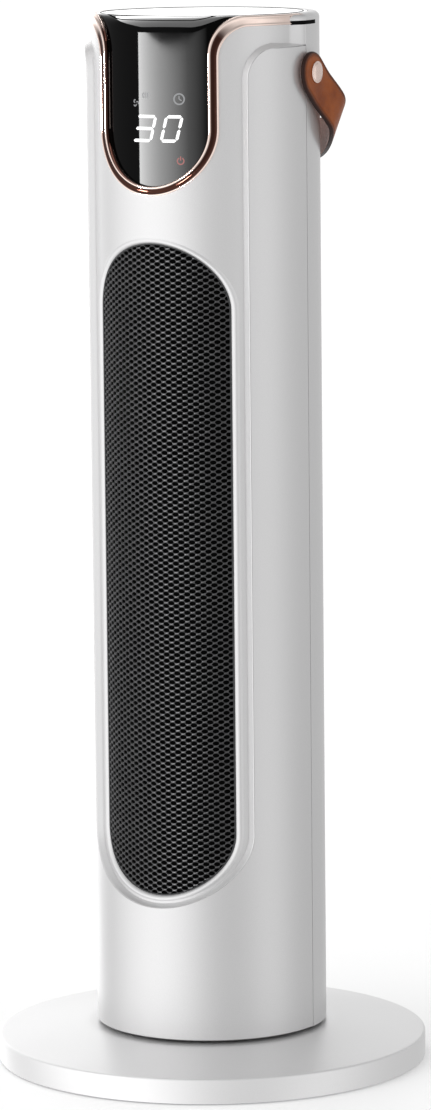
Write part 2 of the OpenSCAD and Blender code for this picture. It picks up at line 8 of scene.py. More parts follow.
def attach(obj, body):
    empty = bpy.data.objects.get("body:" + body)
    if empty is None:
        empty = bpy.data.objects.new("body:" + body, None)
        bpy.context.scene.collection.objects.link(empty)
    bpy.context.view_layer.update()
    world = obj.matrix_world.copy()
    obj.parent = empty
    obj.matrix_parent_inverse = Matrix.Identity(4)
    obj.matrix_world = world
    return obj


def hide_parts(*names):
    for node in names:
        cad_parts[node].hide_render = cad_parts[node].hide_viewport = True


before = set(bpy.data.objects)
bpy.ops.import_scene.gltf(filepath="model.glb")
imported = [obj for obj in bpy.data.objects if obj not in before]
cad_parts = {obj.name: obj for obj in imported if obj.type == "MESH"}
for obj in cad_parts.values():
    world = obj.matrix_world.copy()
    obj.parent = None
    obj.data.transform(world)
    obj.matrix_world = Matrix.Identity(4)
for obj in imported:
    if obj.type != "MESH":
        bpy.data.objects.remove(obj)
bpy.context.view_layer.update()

MM = 0.001
PI = math.pi


def ease(t):
    """A smooth step from 0 at t = 0 to 1 at t = 1, for a number or an array."""
    t = np.clip(t, 0, 1)
    return t * t * (3 - 2 * t)


def turn(n):
    """The angles of n even steps round a full circle."""
    return np.linspace(0, 2 * PI, n, endpoint=False)


# ------------------------------------------------------------------ sizes, in millimetres
# near those in part.scad; the openings and the bead were matched to the photo and differ by 1 or 2 mm
TOWER_R, PANEL_R, MESH_R, GLASS_R = 66.0, 62.0, 60.5, 60.0
TOWER_Z, TOTAL_H = 23.0, 600.0
# the front shell's opening: half width, lowest point, top, corner radius, height of its rounded foot
OPEN_X, OPEN_BOTTOM, OPEN_TOP, OPEN_CORNER, OPEN_BOW = 51.0, 99.0, 582.5, 18.0, 41.3
# the outlet: half width, lowest and highest point, heights of its rounded ends
MESH_X, MESH_Z0, MESH_Z1, MESH_BOW0, MESH_BOW1 = 42.3, 104.7, 474.5, 35.6, 37.8
BEAD_W = 3.0
GLASS_X, TONGUE_Z, TRIM_X, RIM_Z = 32.0, 538.0, 37.3, 594.0
BASE_R, BASE_RIM, BASE_TOP = 123.0, 15.0, 21.0

# ------------------------------------------------------------------ camera
scene = bpy.context.scene
CAM_AZ, CAM_PITCH, CAM_ROLL = math.radians(28.75), math.radians(8.41), math.radians(-0.59)
CAM_DIST, CAM_H, CAM_LENS, CAM_SHIFT = 3.0, 0.73335, 172.4, (0.0072, 0.0022)
cam_data = bpy.data.cameras.new("camera")
cam = bpy.data.objects.new("camera", cam_data)
scene.collection.objects.link(cam)
forward = Vector((-math.sin(CAM_AZ) * math.cos(CAM_PITCH),
                  math.cos(CAM_AZ) * math.cos(CAM_PITCH), -math.sin(CAM_PITCH)))
right0 = Vector((math.cos(CAM_AZ), math.sin(CAM_AZ), 0))
up0 = right0.cross(forward)
right = math.cos(CAM_ROLL) * right0 + math.sin(CAM_ROLL) * up0
up = -math.sin(CAM_ROLL) * right0 + math.cos(CAM_ROLL) * up0
cam.matrix_world = Matrix((
    (right.x, up.x, -forward.x, CAM_DIST * math.sin(CAM_AZ)),
    (right.y, up.y, -forward.y, -CAM_DIST * math.cos(CAM_AZ)),
    (right.z, up.z, -forward.z, CAM_H), (0, 0, 0, 1)))
cam_data.lens = CAM_LENS
cam_data.shift_x, cam_data.shift_y = CAM_SHIFT
cam_data.clip_end = 100
scene.camera = cam

# ------------------------------------------------------------------ materials


class Nodes:
    """A node material with the few building blocks that all finishes here share.
    Texture scales are in cycles per metre, and a bump's distance is in metres."""

    def __init__(self, name, color, rough, metallic=0.0, **fixed):
        self.mat = bpy.data.materials.new(name)
        self.mat.use_nodes = True
        self.tree = self.mat.node_tree
        self.bsdf = self.tree.nodes["Principled BSDF"]
        self.color = tuple(color) + (1.0,)
        self.put("Base Color", self.color)
        self.put("Roughness", rough)
        self.put("Metallic", metallic)
        for k, v in fixed.items():
            self.put(k.replace("_", " "), v)
        self.coord = self.node("ShaderNodeTexCoord").outputs["Object"]
        self.height = None

    def node(self, kind, **props):
        n = self.tree.nodes.new(kind)
        for k, v in props.items():
            setattr(n, k, v)
        return n

    def link(self, a, b):
        self.tree.links.new(a, b)

    def put(self, socket, value):
        self.bsdf.inputs[socket].default_value = value

    def scaled(self, scale):
        m = self.node("ShaderNodeMapping")
        m.inputs["Scale"].default_value = scale
        self.link(self.coord, m.inputs["Vector"])
        return m.outputs["Vector"]

    def noise(self, scale, detail=3.0, stretch=None):
        n = self.node("ShaderNodeTexNoise")
        n.inputs["Scale"].default_value = scale
        n.inputs["Detail"].default_value = detail
        self.link(self.scaled(stretch) if stretch else self.coord, n.inputs["Vector"])
        return n.outputs["Fac"]

    def voronoi(self, scale, feature="F1", stretch=None):
        n = self.node("ShaderNodeTexVoronoi", feature=feature)
        n.inputs["Scale"].default_value = scale
        self.link(self.scaled(stretch) if stretch else self.coord, n.inputs["Vector"])
        return n.outputs["Distance"]

    def ramp(self, fac, low, high, lo_at=0.3, hi_at=0.7):
        n = self.node("ShaderNodeValToRGB")
        n.color_ramp.elements[0].position, n.color_ramp.elements[1].position = lo_at, hi_at
        n.color_ramp.elements[0].color = tuple(low) + (1.0,)
        n.color_ramp.elements[1].color = tuple(high) + (1.0,)
        self.link(fac, n.inputs["Fac"])
        return n.outputs["Color"]

    def span(self, fac, low, high, lo_at=0.3, hi_at=0.7):
        n = self.node("ShaderNodeMapRange")
        for k, v in (("From Min", lo_at), ("From Max", hi_at), ("To Min", low), ("To Max", high)):
            n.inputs[k].default_value = v
        self.link(fac, n.inputs["Value"])
        return n.outputs["Result"]

    def mix(self, fac, a, b):
        n = self.node("ShaderNodeMix", data_type="RGBA")
        for socket, v in ((n.inputs[0], fac), (n.inputs[6], a), (n.inputs[7], b)):
            if hasattr(v, "node"):
                self.link(v, socket)
            else:
                socket.default_value = v
        return n.outputs[2]

    def bump(self, fac, strength, distance):
        n = self.node("ShaderNodeBump")
        n.inputs["Strength"].default_value = strength
        n.inputs["Distance"].default_value = distance
        self.link(fac, n.inputs["Height"])
        if self.height:
            self.link(self.height, n.inputs["Normal"])
        self.height = n.outputs["Normal"]
        self.link(self.height, self.bsdf.inputs["Normal"])
        return self

    def colour_noise(self, scale, amount):
        c = Vector(self.color[:3])
        out = self.ramp(self.noise(scale), c * (1 - amount), c * (1 + amount))
        self.link(out, self.bsdf.inputs["Base Color"])
        return self

    def rough_noise(self, scale, low, high, stretch=None):
        self.link(self.span(self.noise(scale, 4, stretch), low, high), self.bsdf.inputs["Roughness"])
        return self


def silver(name, tone, rough=0.34):
    """Satin silver paint: a pale metallic base with fine flakes under a thin clear coat."""
    m = Nodes(name, tone, rough, 0.55, Coat_Weight=0.25, Coat_Roughness=0.22)
    flake = m.voronoi(5200)
    c = Vector(m.color[:3])
    col = m.ramp(flake, c * 1.05, c * 0.95, 0.1, 0.7)
    m.link(col, m.bsdf.inputs["Base Color"])
    m.rough_noise(9, rough - 0.03, rough + 0.04)
    m.bump(m.noise(2600, 2), 0.03, 0.0002)
    m.bump(m.noise(55, 3), 0.02, 0.0006)
    return m.mat


def plastic(name, color, rough, grain=1800, depth=0.12, vary=0.06):
    m = Nodes(name, color, rough)
    m.colour_noise(30, vary)
    m.rough_noise(120, rough - 0.05, rough + 0.07)
    m.bump(m.noise(grain, 2), depth, 0.0002)
    return m.mat


def metal(name, color, rough, brushed=None, vary=0.05):
    m = Nodes(name, color, rough, 1.0)
    m.colour_noise(60, vary)
    m.rough_noise(900, rough - 0.05, rough + 0.08, stretch=brushed)
    m.bump(m.noise(1500, 3, stretch=brushed), 0.06, 0.0001)
    return m.mat


SHELL = silver("shell_paint", (0.675, 0.672, 0.675))
BASE_PAINT = silver("base_paint", (0.85, 0.847, 0.85), 0.38)

gold = Nodes("rose_gold", (0.86, 0.60, 0.50), 0.07, 1.0)
gold.colour_noise(40, 0.03)
gold.rough_noise(300, 0.05, 0.10)
gold.bump(gold.noise(700, 3), 0.015, 0.0001)
GOLD = gold.mat

band = Nodes("trim_rose_gold", (0.86, 0.62, 0.54), 0.08, 1.0)
band_painted_reflection = band.node("ShaderNodeAttribute", attribute_name="groove_painted_reflection")
band_tone = band.ramp(band.noise(60, 3), (0.86, 0.69, 0.62), (0.91, 0.76, 0.69))
# the groove's base colour is near black: a painted dark reflection of the surroundings on the polished rose gold
band.link(band.mix(band_painted_reflection.outputs["Fac"], band_tone, (0.045, 0.019, 0.014, 1)), band.bsdf.inputs["Base Color"])
band.rough_noise(260, 0.06, 0.12)
band.bump(band.noise(600, 3), 0.02, 0.0001)
TRIM_GOLD = band.mat

stud_metal = Nodes("stud_metal", (0.86, 0.69, 0.62), 0.24, 1.0)
stud_metal.colour_noise(500, 0.04)
stud_metal.rough_noise(700, 0.2, 0.3)
stud_metal.bump(stud_metal.noise(900, 3), 0.012, 0.0001)
STUD = stud_metal.mat

glass = Nodes("black_glass", (0.0006, 0.0006, 0.0007), 0.03, 0.0, IOR=1.12)
glass.colour_noise(20, 0.3)
glass.rough_noise(45, 0.025, 0.05)
GLASS = glass.mat

mesh_mat = Nodes("mesh_black", (0.072, 0.072, 0.074), 0.3, 0.9)
mesh_mat.colour_noise(200, 0.15)
mesh_mat.rough_noise(400, 0.30, 0.44)
mesh_mat.bump(mesh_mat.noise(2600, 2), 0.10, 0.0001)
MESH = mesh_mat.mat

leather = Nodes("leather_brown", (0.23, 0.085, 0.038), 0.5, 0.0, IOR=1.3)
cells = leather.voronoi(1500, "DISTANCE_TO_EDGE")
tone = leather.ramp(leather.noise(70, 5), (0.20, 0.042, 0.006), (0.36, 0.090, 0.014), 0.3, 0.72)
edge = leather.node("ShaderNodeAttribute", attribute_name="edge_dark")
dark = leather.mix(edge.outputs["Fac"], tone, (0.020, 0.005, 0.003, 1))
leather.link(dark, leather.bsdf.inputs["Base Color"])
leather.link(leather.span(cells, 0.62, 0.42, 0.0, 0.05), leather.bsdf.inputs["Roughness"])
leather.bump(cells, 0.35, 0.0003)
leather.bump(leather.noise(420, 4), 0.25, 0.0003)
LEATHER = leather.mat

suede = Nodes("leather_suede", (0.42, 0.20, 0.15), 0.92, 0.0, Sheen_Weight=0.5, Sheen_Roughness=0.5)
nap = suede.ramp(suede.noise(900, 6), (0.30, 0.13, 0.09), (0.52, 0.27, 0.21))
suede.link(nap, suede.bsdf.inputs["Base Color"])
suede.bump(suede.noise(2400, 4), 0.6, 0.0004)
SUEDE = suede.mat

# near black with little shine: painted shade, standing in for the dark inside seen through the outlet holes and
# for the shaded gap in the rim
SHADE_BLACK = plastic("painted_shade_black", (0.0015, 0.0015, 0.0015), 0.95, grain=1400, depth=0.3, vary=0.3)
SHADE_BLACK.node_tree.nodes["Principled BSDF"].inputs["Specular IOR Level"].default_value = 0.1
DARK = plastic("dark_plastic", (0.035, 0.036, 0.038), 0.42)
DUCT = plastic("duct_plastic", (0.45, 0.44, 0.42), 0.5)
ACETAL = plastic("white_acetal", (0.78, 0.77, 0.73), 0.38, vary=0.02)
RUBBER = plastic("rubber", (0.02, 0.02, 0.021), 0.75, grain=900, depth=0.35)
CAST = plastic("cast_weight", (0.11, 0.11, 0.115), 0.68, grain=500, depth=0.6, vary=0.2)
ZINC = metal("zinc_steel", (0.56, 0.58, 0.60), 0.34, vary=0.12)
STEEL = metal("bright_steel", (0.72, 0.72, 0.73), 0.2, brushed=(1, 1, 14))
ALU = metal("fin_aluminium", (0.80, 0.80, 0.80), 0.28, brushed=(1, 1, 8))
STONE = plastic("stone_ceramic", (0.55, 0.50, 0.45), 0.8, grain=700, depth=0.5, vary=0.12)
BRASS = metal("brass", (0.83, 0.62, 0.27), 0.25)
BRONZE = metal("bronze", (0.55, 0.36, 0.18), 0.36)
FILTER = plastic("filter_foam", (0.07, 0.07, 0.075), 0.9, grain=350, depth=1.0, vary=0.3)
pcb = Nodes("board_green", (0.02, 0.12, 0.05), 0.35, 0.0, Coat_Weight=0.4)
track = pcb.ramp(pcb.voronoi(420, stretch=(1, 1, 0.4)), (0.012, 0.085, 0.035), (0.03, 0.16, 0.07), 0.15, 0.4)
pcb.link(track, pcb.bsdf.inputs["Base Color"])
pcb.bump(pcb.voronoi(300), 0.2, 0.0002)
BOARD = pcb.mat


def emitter(name, color, strength):
    m = Nodes(name, (0.02, 0.02, 0.02), 0.3)
    m.put("Emission Color", tuple(color) + (1.0,))
    m.put("Emission Strength", strength)
    m.colour_noise(200, 0.1)
    return m.mat


LIT = emitter("lit_white", (1.0, 1.0, 1.0), 1.3)
DIM = emitter("lit_icon", (0.9, 0.92, 0.95), 0.32)
RED = emitter("lit_power", (0.9, 0.30, 0.28), 0.42)

CAD_MATERIALS = (
    (SHELL, "rear_shell front_panel front_shell intake_grille grille_frame"),
    (BASE_PAINT, "base_cover"),
    (ZINC, "base_plate base_screws spindle_nut drive_bracket inner_frame motor_plate shell_screws strap_nuts"),
    (CAST, "base_weight motor_rotor"),
    (RUBBER, "rubber_feet cord_gland"),
    (STEEL, "spindle snap_ring drive_motor pinion_shaft blower_motor blower_shaft thermal_cutout"),
    (ACETAL, "thrust_washer hub_gear tip_plunger floor_bush drive_pinion"),
    (DARK, "tip_switch tower_floor heater_frame board_parts digit_module buzzer service_panel switch_body "
           "switch_rocker"),
    (ALU, "blower_wheel heat_fins"),
    (BRONZE, "upper_bush"),
    (DUCT, "scroll_housing air_stabiliser duct_bottom duct_top"),
    (STONE, "ceramic_stones"),
    (BRASS, "heater_terminals"),
    (BOARD, "power_board touch_board"),
    (FILTER, "dust_filter"),
    (GOLD, "strap_studs strap_washers trim_band"),
    (LEATHER, "strap"),
    (MESH, "outlet_grille"),
    (GLASS, "control_glass"),
)
for material, names in CAD_MATERIALS:
    for name in names.split():
        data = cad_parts[name].data
        if data.materials:
            for i in range(len(data.materials)):
                data.materials[i] = material
        else:
            data.materials.append(material)

# ------------------------------------------------------------------ mesh building


class Build:
    """Collects points in millimetres and faces, then makes one piece. A point may be added with its
    normal; the others get Blender's own."""

    def __init__(self):
        self.v, self.n, self.f, self.m = [], {}, [], []

    def add(self, points, normals=None):
        start = len(self.v)
        self.v.extend(tuple(p) for p in points)
        for i, n in enumerate(normals if normals is not None else ()):
            self.n[start + i] = tuple(n)
        return list(range(start, start + len(points)))

    def strip(self, a, b, closed=False, mat=0):
        """Quads between two rows of the same length. Seen from outside, b lies to the left of a's run."""
        k = len(a)
        for i in range(k if closed else k - 1):
            j = (i + 1) % k
            self.face((a[i], a[j], b[j], b[i]), mat)

    def face(self, corners, mat=0):
        """One face, without corners that come twice."""
        seen = []
        for c in corners:
            if c not in seen:
                seen.append(c)
        if len(seen) > 2:
            self.f.append(tuple(seen))
            self.m.append(mat)

    def fan(self, row, centre):
        for a, c in zip(row, row[1:] + row[:1]):
            self.face((a, c, centre))

    def piece(self, name, body, materials, replaces=(), merge=0.0005, smooth=True, attribute=None):
        me = bpy.data.meshes.new(name)
        me.from_pydata([(x * MM, y * MM, z * MM) for x, y, z in self.v], [], self.f)
        for m in materials if isinstance(materials, (list, tuple)) else [materials]:
            me.materials.append(m)
        me.polygons.foreach_set("material_index", self.m)
        me.polygons.foreach_set("use_smooth", [smooth] * len(self.f))
        if attribute:
            at = me.attributes.new(attribute[0], "FLOAT", "POINT")
            at.data.foreach_set("value", np.asarray(attribute[1], np.float32))
        known = me.attributes.new("known", "FLOAT_VECTOR", "POINT")
        fixed = np.zeros((len(self.v), 3), np.float32)
        for i, n in self.n.items():
            fixed[i] = n
        known.data.foreach_set("vector", fixed.ravel())
        if merge:
            bm = bmesh.new()
            bm.from_mesh(me)
            bmesh.ops.remove_doubles(bm, verts=bm.verts, dist=merge * MM)
            bm.to_mesh(me)
            bm.free()
        me.update()
        if smooth and self.n:
            count = len(me.vertices)
            auto = np.zeros(count * 3, np.float32)
            me.vertex_normals.foreach_get("vector", auto)
            auto = auto.reshape(-1, 3)
            fixed = np.zeros(count * 3, np.float32)
            me.attributes["known"].data.foreach_get("vector", fixed)
            fixed = fixed.reshape(-1, 3)
            has = np.linalg.norm(fixed, axis=1) > 0.5
            auto[has] = fixed[has]
            me.normals_split_custom_set_from_vertices([tuple(map(float, n)) for n in auto])
        me.attributes.remove(me.attributes["known"])
        ob = bpy.data.objects.new(name, me)
        scene.collection.objects.link(ob)
        if body:
            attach(ob, body)
        if replaces:
            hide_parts(*replaces)
        return ob


def wrap(path, r, ref):
    """Points (s, z) along the tower's skin of radius ref, put on the radius r."""
    return [(r * math.sin(s / ref), -r * math.cos(s / ref), z) for s, z in path]


def radial(path, ref):
    """The normals of such points."""
    return [(math.sin(s / ref), -math.cos(s / ref), 0.0) for s, z in path]


def side_normals(path, closed=False):
    """Unit vectors to the left of the path's run."""
    p = np.asarray(path, float)
    if closed:
        d = np.roll(p, -1, 0) - np.roll(p, 1, 0)
    else:
        d = np.gradient(p, axis=0)
    d /= np.maximum(np.linalg.norm(d, axis=1), 1e-9)[:, None]
    return np.stack([-d[:, 1], d[:, 0]], 1)


def lerp_rows(a, b, steps):
    """Rows of points from a to b, both included."""
    a, b = np.asarray(a, float), np.asarray(b, float)
    return [a + (b - a) * k / steps for k in range(steps + 1)]


def ribbon(build, A, B, steps, levels, ref, closed=False, end_dirs=None):
    """A solid plate between outlines A and B, which lies left of A and right of B as both run.
    levels: (push of A's edge, push of B's edge, push of the ends, radius) from the face inwards."""
    A, B = np.asarray(A, float), np.asarray(B, float)
    nA, nB = -side_normals(A, closed), side_normals(B, closed)

    def at(level):
        oa, ob, oe, r = level
        a, b = A + nA * oa, B + nB * ob
        if not closed:
            for row in (a, b):
                row[0] += np.asarray(end_dirs[0]) * oe
                row[-1] += np.asarray(end_dirs[1]) * oe
        return lerp_rows(a, b, steps), r

    rows, r = at(levels[0])
    face = [build.add(wrap(p, r, ref), radial(p, ref)) for p in rows]
    for k in range(steps):
        build.strip(face[k], face[k + 1], closed)

    def loops(grid):
        if closed:
            return [list(reversed(grid[0])), list(grid[-1])]
        first = [row[0] for row in grid]
        last = [row[-1] for row in grid]
        return [list(reversed(grid[0])) + first[1:-1] + list(grid[-1]) + list(reversed(last[1:-1]))]

    prev = loops(face)
    for level in levels[1:]:
        rows, r = at(level)
        if level is levels[-1]:
            grid = [build.add(wrap(p, r, ref)) for p in rows]
            for k in range(steps):
                build.strip(grid[k + 1], grid[k], closed)
            now = loops(grid)
        else:
            now = [build.add(wrap(loop, r, ref)) for loop in loops(rows)]
        for a, b in zip(prev, now):
            build.strip(b, a, True)
        prev = now


def sweep(build, inner, outer, profile, ref, closed=False):
    """A band between two outlines of the same length: profile gives (share from outer to inner, radius)."""
    inner, outer = np.asarray(inner, float), np.asarray(outer, float)
    rings = [build.add(wrap(outer + (inner - outer) * u, r, ref)) for u, r in profile]
    for a, b in zip(rings, rings[1:] + rings[:1]):
        build.strip(a, b, closed)
    if not closed:
        build.face([ring[0] for ring in rings])
        build.face([ring[-1] for ring in reversed(rings)])


def ellipse_end(half_x, z_mid, bow, r, ref, t0, t1, n):
    """Part of an ellipse drawn straight on, then laid on the radius r: angles t0 to t1 in degrees."""
    out = []
    for t in np.radians(np.linspace(t0, t1, n)):
        share = max(-1, min(1, half_x * math.cos(t) / r))
        out.append((ref * math.asin(share), z_mid + bow * math.sin(t)))
    return out


def line(p, q, n):
    """The points between p and q, without these two."""
    return [(p[0] + (q[0] - p[0]) * k / n, p[1] + (q[1] - p[1]) * k / n) for k in range(1, n)]


def arc(cx, cz, r, t0, t1, n):
    return [(cx + r * math.cos(t), cz + r * math.sin(t)) for t in np.radians(np.linspace(t0, t1, n))]


def mirrored(path):
    """A path's other half, so that half + its middle + mirrored(half) runs from left to right."""
    return [(-s, z) for s, z in reversed(path)]


# ------------------------------------------------------------------ front shell
REF = TOWER_R
SEAM_S, SEAM_GAP = REF * PI / 2, 0.08
s_open = REF * math.asin(OPEN_X / REF)
open_mid = OPEN_BOTTOM + OPEN_BOW
corner_z = OPEN_TOP - OPEN_CORNER
flare = arc(-(s_open + OPEN_CORNER), corner_z, OPEN_CORNER, 90, 0, 15)
side = line((-s_open, corner_z), (-s_open, open_mid), 40)
bottom_left = ellipse_end(OPEN_X, open_mid, OPEN_BOW, REF, REF, 180, 270, 41)
half = flare + side + bottom_left[:-1]
inner_path = half + [bottom_left[-1]] + mirrored(half)
# the outer edge has as many points: straight down along the seam, then along the foot
seam_in = SEAM_S - SEAM_GAP
DOWN_N = 13
foot_n = len(bottom_left) - DOWN_N
outer_half = [(-seam_in, z) for s, z in flare + side]
outer_half += [(-seam_in, open_mid + (TOWER_Z - open_mid) * k / (DOWN_N - 1)) for k in range(DOWN_N)]
outer_half += [(-seam_in + seam_in * k / foot_n, TOWER_Z) for k in range(1, foot_n)]
outer_path = outer_half + [(0.0, TOWER_Z)] + mirrored(outer_half)
# the rounded edge, then a wall that narrows a little to the back
EDGE, SEAM_EDGE = 0.55, 0.45
levels = []
for t in np.radians((0, 30, 60, 90)):
    c, drop = 1 - math.sin(t), EDGE * (1 - math.cos(t))
    levels.append((-EDGE * c, -SEAM_EDGE * c, -EDGE * c, REF - drop))
levels += [(1.1, 0, 0.3, 63.3), (1.75, 0, 0.5, 61.4), (1.75, 0, 0.5, 60.9)]
UPWARDS = ((0, 1), (0, 1))
b = Build()
ribbon(b, inner_path[::-1], outer_path[::-1], 26, levels, REF, end_dirs=UPWARDS)
b.piece("front_shell_skin", "tower", SHELL, ["front_shell"])

# ------------------------------------------------------------------ front panel, the wall inside the opening
REF = PANEL_R


def grille_outline(grow, r, ref=PANEL_R, n=48, n_side=24):
    """Closed outline of the outlet, anticlockwise from the right side's foot, grown by some millimetres."""
    hx = MESH_X + grow
    z0, z1 = MESH_Z0 + MESH_BOW0, MESH_Z1 - MESH_BOW1
    right_s = ref * math.asin(hx / r)
    up_side = [(right_s, z0)] + line((right_s, z0), (right_s, z1), n_side)
    top = ellipse_end(hx, z1, MESH_BOW1 + grow, r, ref, 0, 180, n)
    down_side = line((-right_s, z1), (-right_s, z0), n_side)
    low = ellipse_end(hx, z0, MESH_BOW0 + grow, r, ref, 180, 360, n)
    return up_side + top + down_side + low[:-1], (len(up_side), len(top), len(down_side), len(low) - 1)


# the bead covers the edge of the panel's hole
BEAD_LAP = 0.5
hole, (k_up, k_top, k_down, k_low) = grille_outline(BEAD_W - BEAD_LAP, PANEL_R)
PANEL_S, SPLIT_Z, PANEL_FOOT, PANEL_T = PANEL_R * math.radians(62), 489.0, 62.0, 2.4
box_up = [(PANEL_S, PANEL_FOOT + (SPLIT_Z - PANEL_FOOT) * k / k_up) for k in range(k_up)]
box_top = [(PANEL_S - 2 * PANEL_S * k / (k_top - 1), SPLIT_Z) for k in range(k_top)]
box_down = [(-PANEL_S, SPLIT_Z + (PANEL_FOOT - SPLIT_Z) * (k + 1) / (k_down + 1)) for k in range(k_down)]
box_low = [(-PANEL_S + 2 * PANEL_S * k / k_low, PANEL_FOOT) for k in range(k_low)]
rect = box_up + box_top + box_down + box_low
# run clockwise, so that the plate lies left of the hole
levels = [(-0.12, 0, 0, REF), (0, 0, 0, REF - 0.12), (0, 0, 0, REF - PANEL_T)]
b = Build()
ribbon(b, hole[::-1], rect[::-1], 12, levels, REF, closed=True)

# the part above the split follows the trim band
PANEL_SEAM_S = SEAM_S * PANEL_R / TOWER_R


def tongue_path(half_x, shoulder, rim_z):
    """A line along the rim from the left seam, down round a tongue on the front and up to the right seam."""
    s_side = PANEL_R * math.asin(half_x / PANEL_R)
    s_turn = s_side + shoulder
    along_rim = [(-s_turn - (PANEL_SEAM_S - s_turn) * (1 - k / 14), rim_z) for k in range(14)]
    turn_down = arc(-s_turn, rim_z - shoulder, shoulder, 90, 0, 17)
    straight = line((-s_side, rim_z - shoulder), (-s_side, TONGUE_Z), 8)
    low = ellipse_end(half_x, TONGUE_Z, half_x, PANEL_R, PANEL_R, 180, 270, 33)
    half = along_rim + turn_down + straight + low[:-1]
    return half, half + [low[-1]] + mirrored(half)


SHOULDER, TUCK = 18.0, 1.2
trim_half, trim_path = tongue_path(TRIM_X, SHOULDER, RIM_Z)
cut = np.asarray(trim_path) + side_normals(trim_path) * TUCK
WALL_FOOT_N = 25
wall_half = [(-PANEL_SEAM_S, z) for z in np.linspace(RIM_Z, SPLIT_Z, len(trim_half) + 1 - WALL_FOOT_N)]
wall_half += [(-PANEL_SEAM_S * (1 - k / WALL_FOOT_N), SPLIT_Z) for k in range(1, WALL_FOOT_N)]
wall = wall_half + [(0.0, SPLIT_Z)] + mirrored(wall_half)
ribbon(b, cut[::-1], wall[::-1], 12, [(0, 0, 0, REF), (0, 0, 0, REF - PANEL_T)], REF, end_dirs=UPWARDS)
b.piece("front_panel_skin", "tower", SHELL, ["front_panel"])

# ------------------------------------------------------------------ bead round the outlet
outer_bead, _ = grille_outline(BEAD_W, PANEL_R)
inner_bead, _ = grille_outline(-0.3, PANEL_R)
# share of the width from the outer edge, and radius
bead = [(0.0, 60.2), (0.0, 61.9), (0.04, 61.98), (0.12, 62.06), (0.25, 62.24), (0.38, 62.36),
        (0.52, 62.32), (0.68, 62.02), (0.83, 61.5), (0.95, 60.9), (1.0, 60.4), (1.0, 60.1)]
b = Build()
sweep(b, inner_bead, outer_bead, bead, REF, closed=True)
b.piece("outlet_bead", "tower", SHELL, ["grille_frame"])

# ------------------------------------------------------------------ outlet mesh
# the holes: distances between their columns and rows, half width and half height
PITCH, RISE = 6.2, 3.46
HOLE_X, HOLE_Z = 1.88, 1.09
# the lip's and the hole's depth, and the radius of the painted shade sheet behind the mesh
LIP_DEEP, HOLE_DEEP, SHADE_SHEET_R = 0.22, 0.9, 58.9
REF = MESH_R


def inside_outlet(s, z, grow):
    """Whether a point of the mesh lies in the outlet, grown by some millimetres."""
    x = MESH_R * math.sin(s / MESH_R)
    hx, z0, z1 = MESH_X + grow, MESH_Z0 + MESH_BOW0, MESH_Z1 - MESH_BOW1
    if z > z1:
        return (x / hx) ** 2 + ((z - z1) / (MESH_BOW1 + grow)) ** 2 < 1
    if z < z0:
        return (x / hx) ** 2 + ((z0 - z) / (MESH_BOW0 + grow)) ** 2 < 1
    return abs(x) < hx


# each hole has a six-sided cell, with two more corners in its level edges
cell_x = (PITCH ** 2 + RISE ** 2) / (4 * PITCH)
cell_t = (PITCH ** 2 - RISE ** 2) / (4 * PITCH)
corners = [(cell_x, 0), (cell_t, RISE / 2), (0, RISE / 2), (-cell_t, RISE / 2),
           (-cell_x, 0), (-cell_t, -RISE / 2), (0, -RISE / 2), (cell_t, -RISE / 2)]
rim_angles = np.radians([0, 42, 90, 138, 180, 222, 270, 318])
rim = [(HOLE_X * math.cos(t), HOLE_Z * math.sin(t)) for t in rim_angles]
b = Build()
columns = int(MESH_R * math.radians(46) / (PITCH / 2))
rows_n = int((MESH_Z1 - MESH_Z0) / RISE) + 2
for i in range(-columns, columns + 1):
    for k in range(rows_n):
        cs, cz = i * PITCH / 2, MESH_Z0 + (k + (i % 2) / 2) * RISE
        if not inside_outlet(cs, cz, 0.3):
            continue
        outer = b.add(wrap([(cs + x, cz + z) for x, z in corners], REF, REF))
        lip = b.add(wrap([(cs + x * 1.06, cz + z * 1.08) for x, z in rim], REF - LIP_DEEP, REF))
        deep = b.add(wrap([(cs + x, cz + z) for x, z in rim], REF - HOLE_DEEP, REF))
        b.strip(outer, lip, True)
        b.strip(lip, deep, True)
mesh_piece = b.piece("outlet_mesh", "tower", MESH, ["outlet_grille"], merge=0.01)

rim_out, _ = grille_outline(0.2, PANEL_R, MESH_R)
rim_in, _ = grille_outline(-0.9, PANEL_R, MESH_R)
b = Build()
rim_profile = [(0.0, 59.6), (0.0, 60.6), (0.5, 60.72), (0.9, 60.66), (1.0, 60.5), (1.0, 59.6)]
sweep(b, rim_in, rim_out, rim_profile, MESH_R, closed=True)
b.piece("outlet_mesh_rim", "tower", DARK)

# a near-black sheet behind the mesh: painted shade for the dark inside of the heater seen through the holes
shade_outline, _ = grille_outline(-0.8, PANEL_R, MESH_R)
b = Build()
shade_ids = b.add(wrap(shade_outline, SHADE_SHEET_R, MESH_R))
spine = b.add(wrap([(0, z) for s, z in shade_outline], SHADE_SHEET_R, MESH_R))
b.strip(shade_ids, spine, True)
b.piece("outlet_painted_shade_sheet", "tower", SHADE_BLACK, merge=0.01)

# ------------------------------------------------------------------ trim band
G_SHOULDER = SHOULDER + 3
band_top = TOTAL_H - 0.05
glass_path = tongue_path(GLASS_X, G_SHOULDER, band_top)[1]
# share of the width from the outer edge, radius, and how far the polished groove is painted dark there, a painted
# reflection of the dark surroundings
TRIM_PROFILE = (
    (0.0, 60.6, 0), (0.0, 62.2, 0), (0.02, 62.6, 0), (0.06, 62.86, 0), (0.11, 62.9, 0),
    (0.16, 62.78, 0.4), (0.21, 62.5, 1), (0.30, 62.25, 1), (0.45, 62.15, 1), (0.60, 62.2, 1),
    (0.70, 62.42, 1), (0.76, 62.7, 0.5), (0.80, 62.84, 0), (0.85, 62.86, 0), (0.90, 62.7, 0.4),
    (0.95, 62.35, 1), (0.985, 61.9, 1), (1.0, 61.2, 1), (1.0, 60.5, 1), (1.0, 59.7, 0))
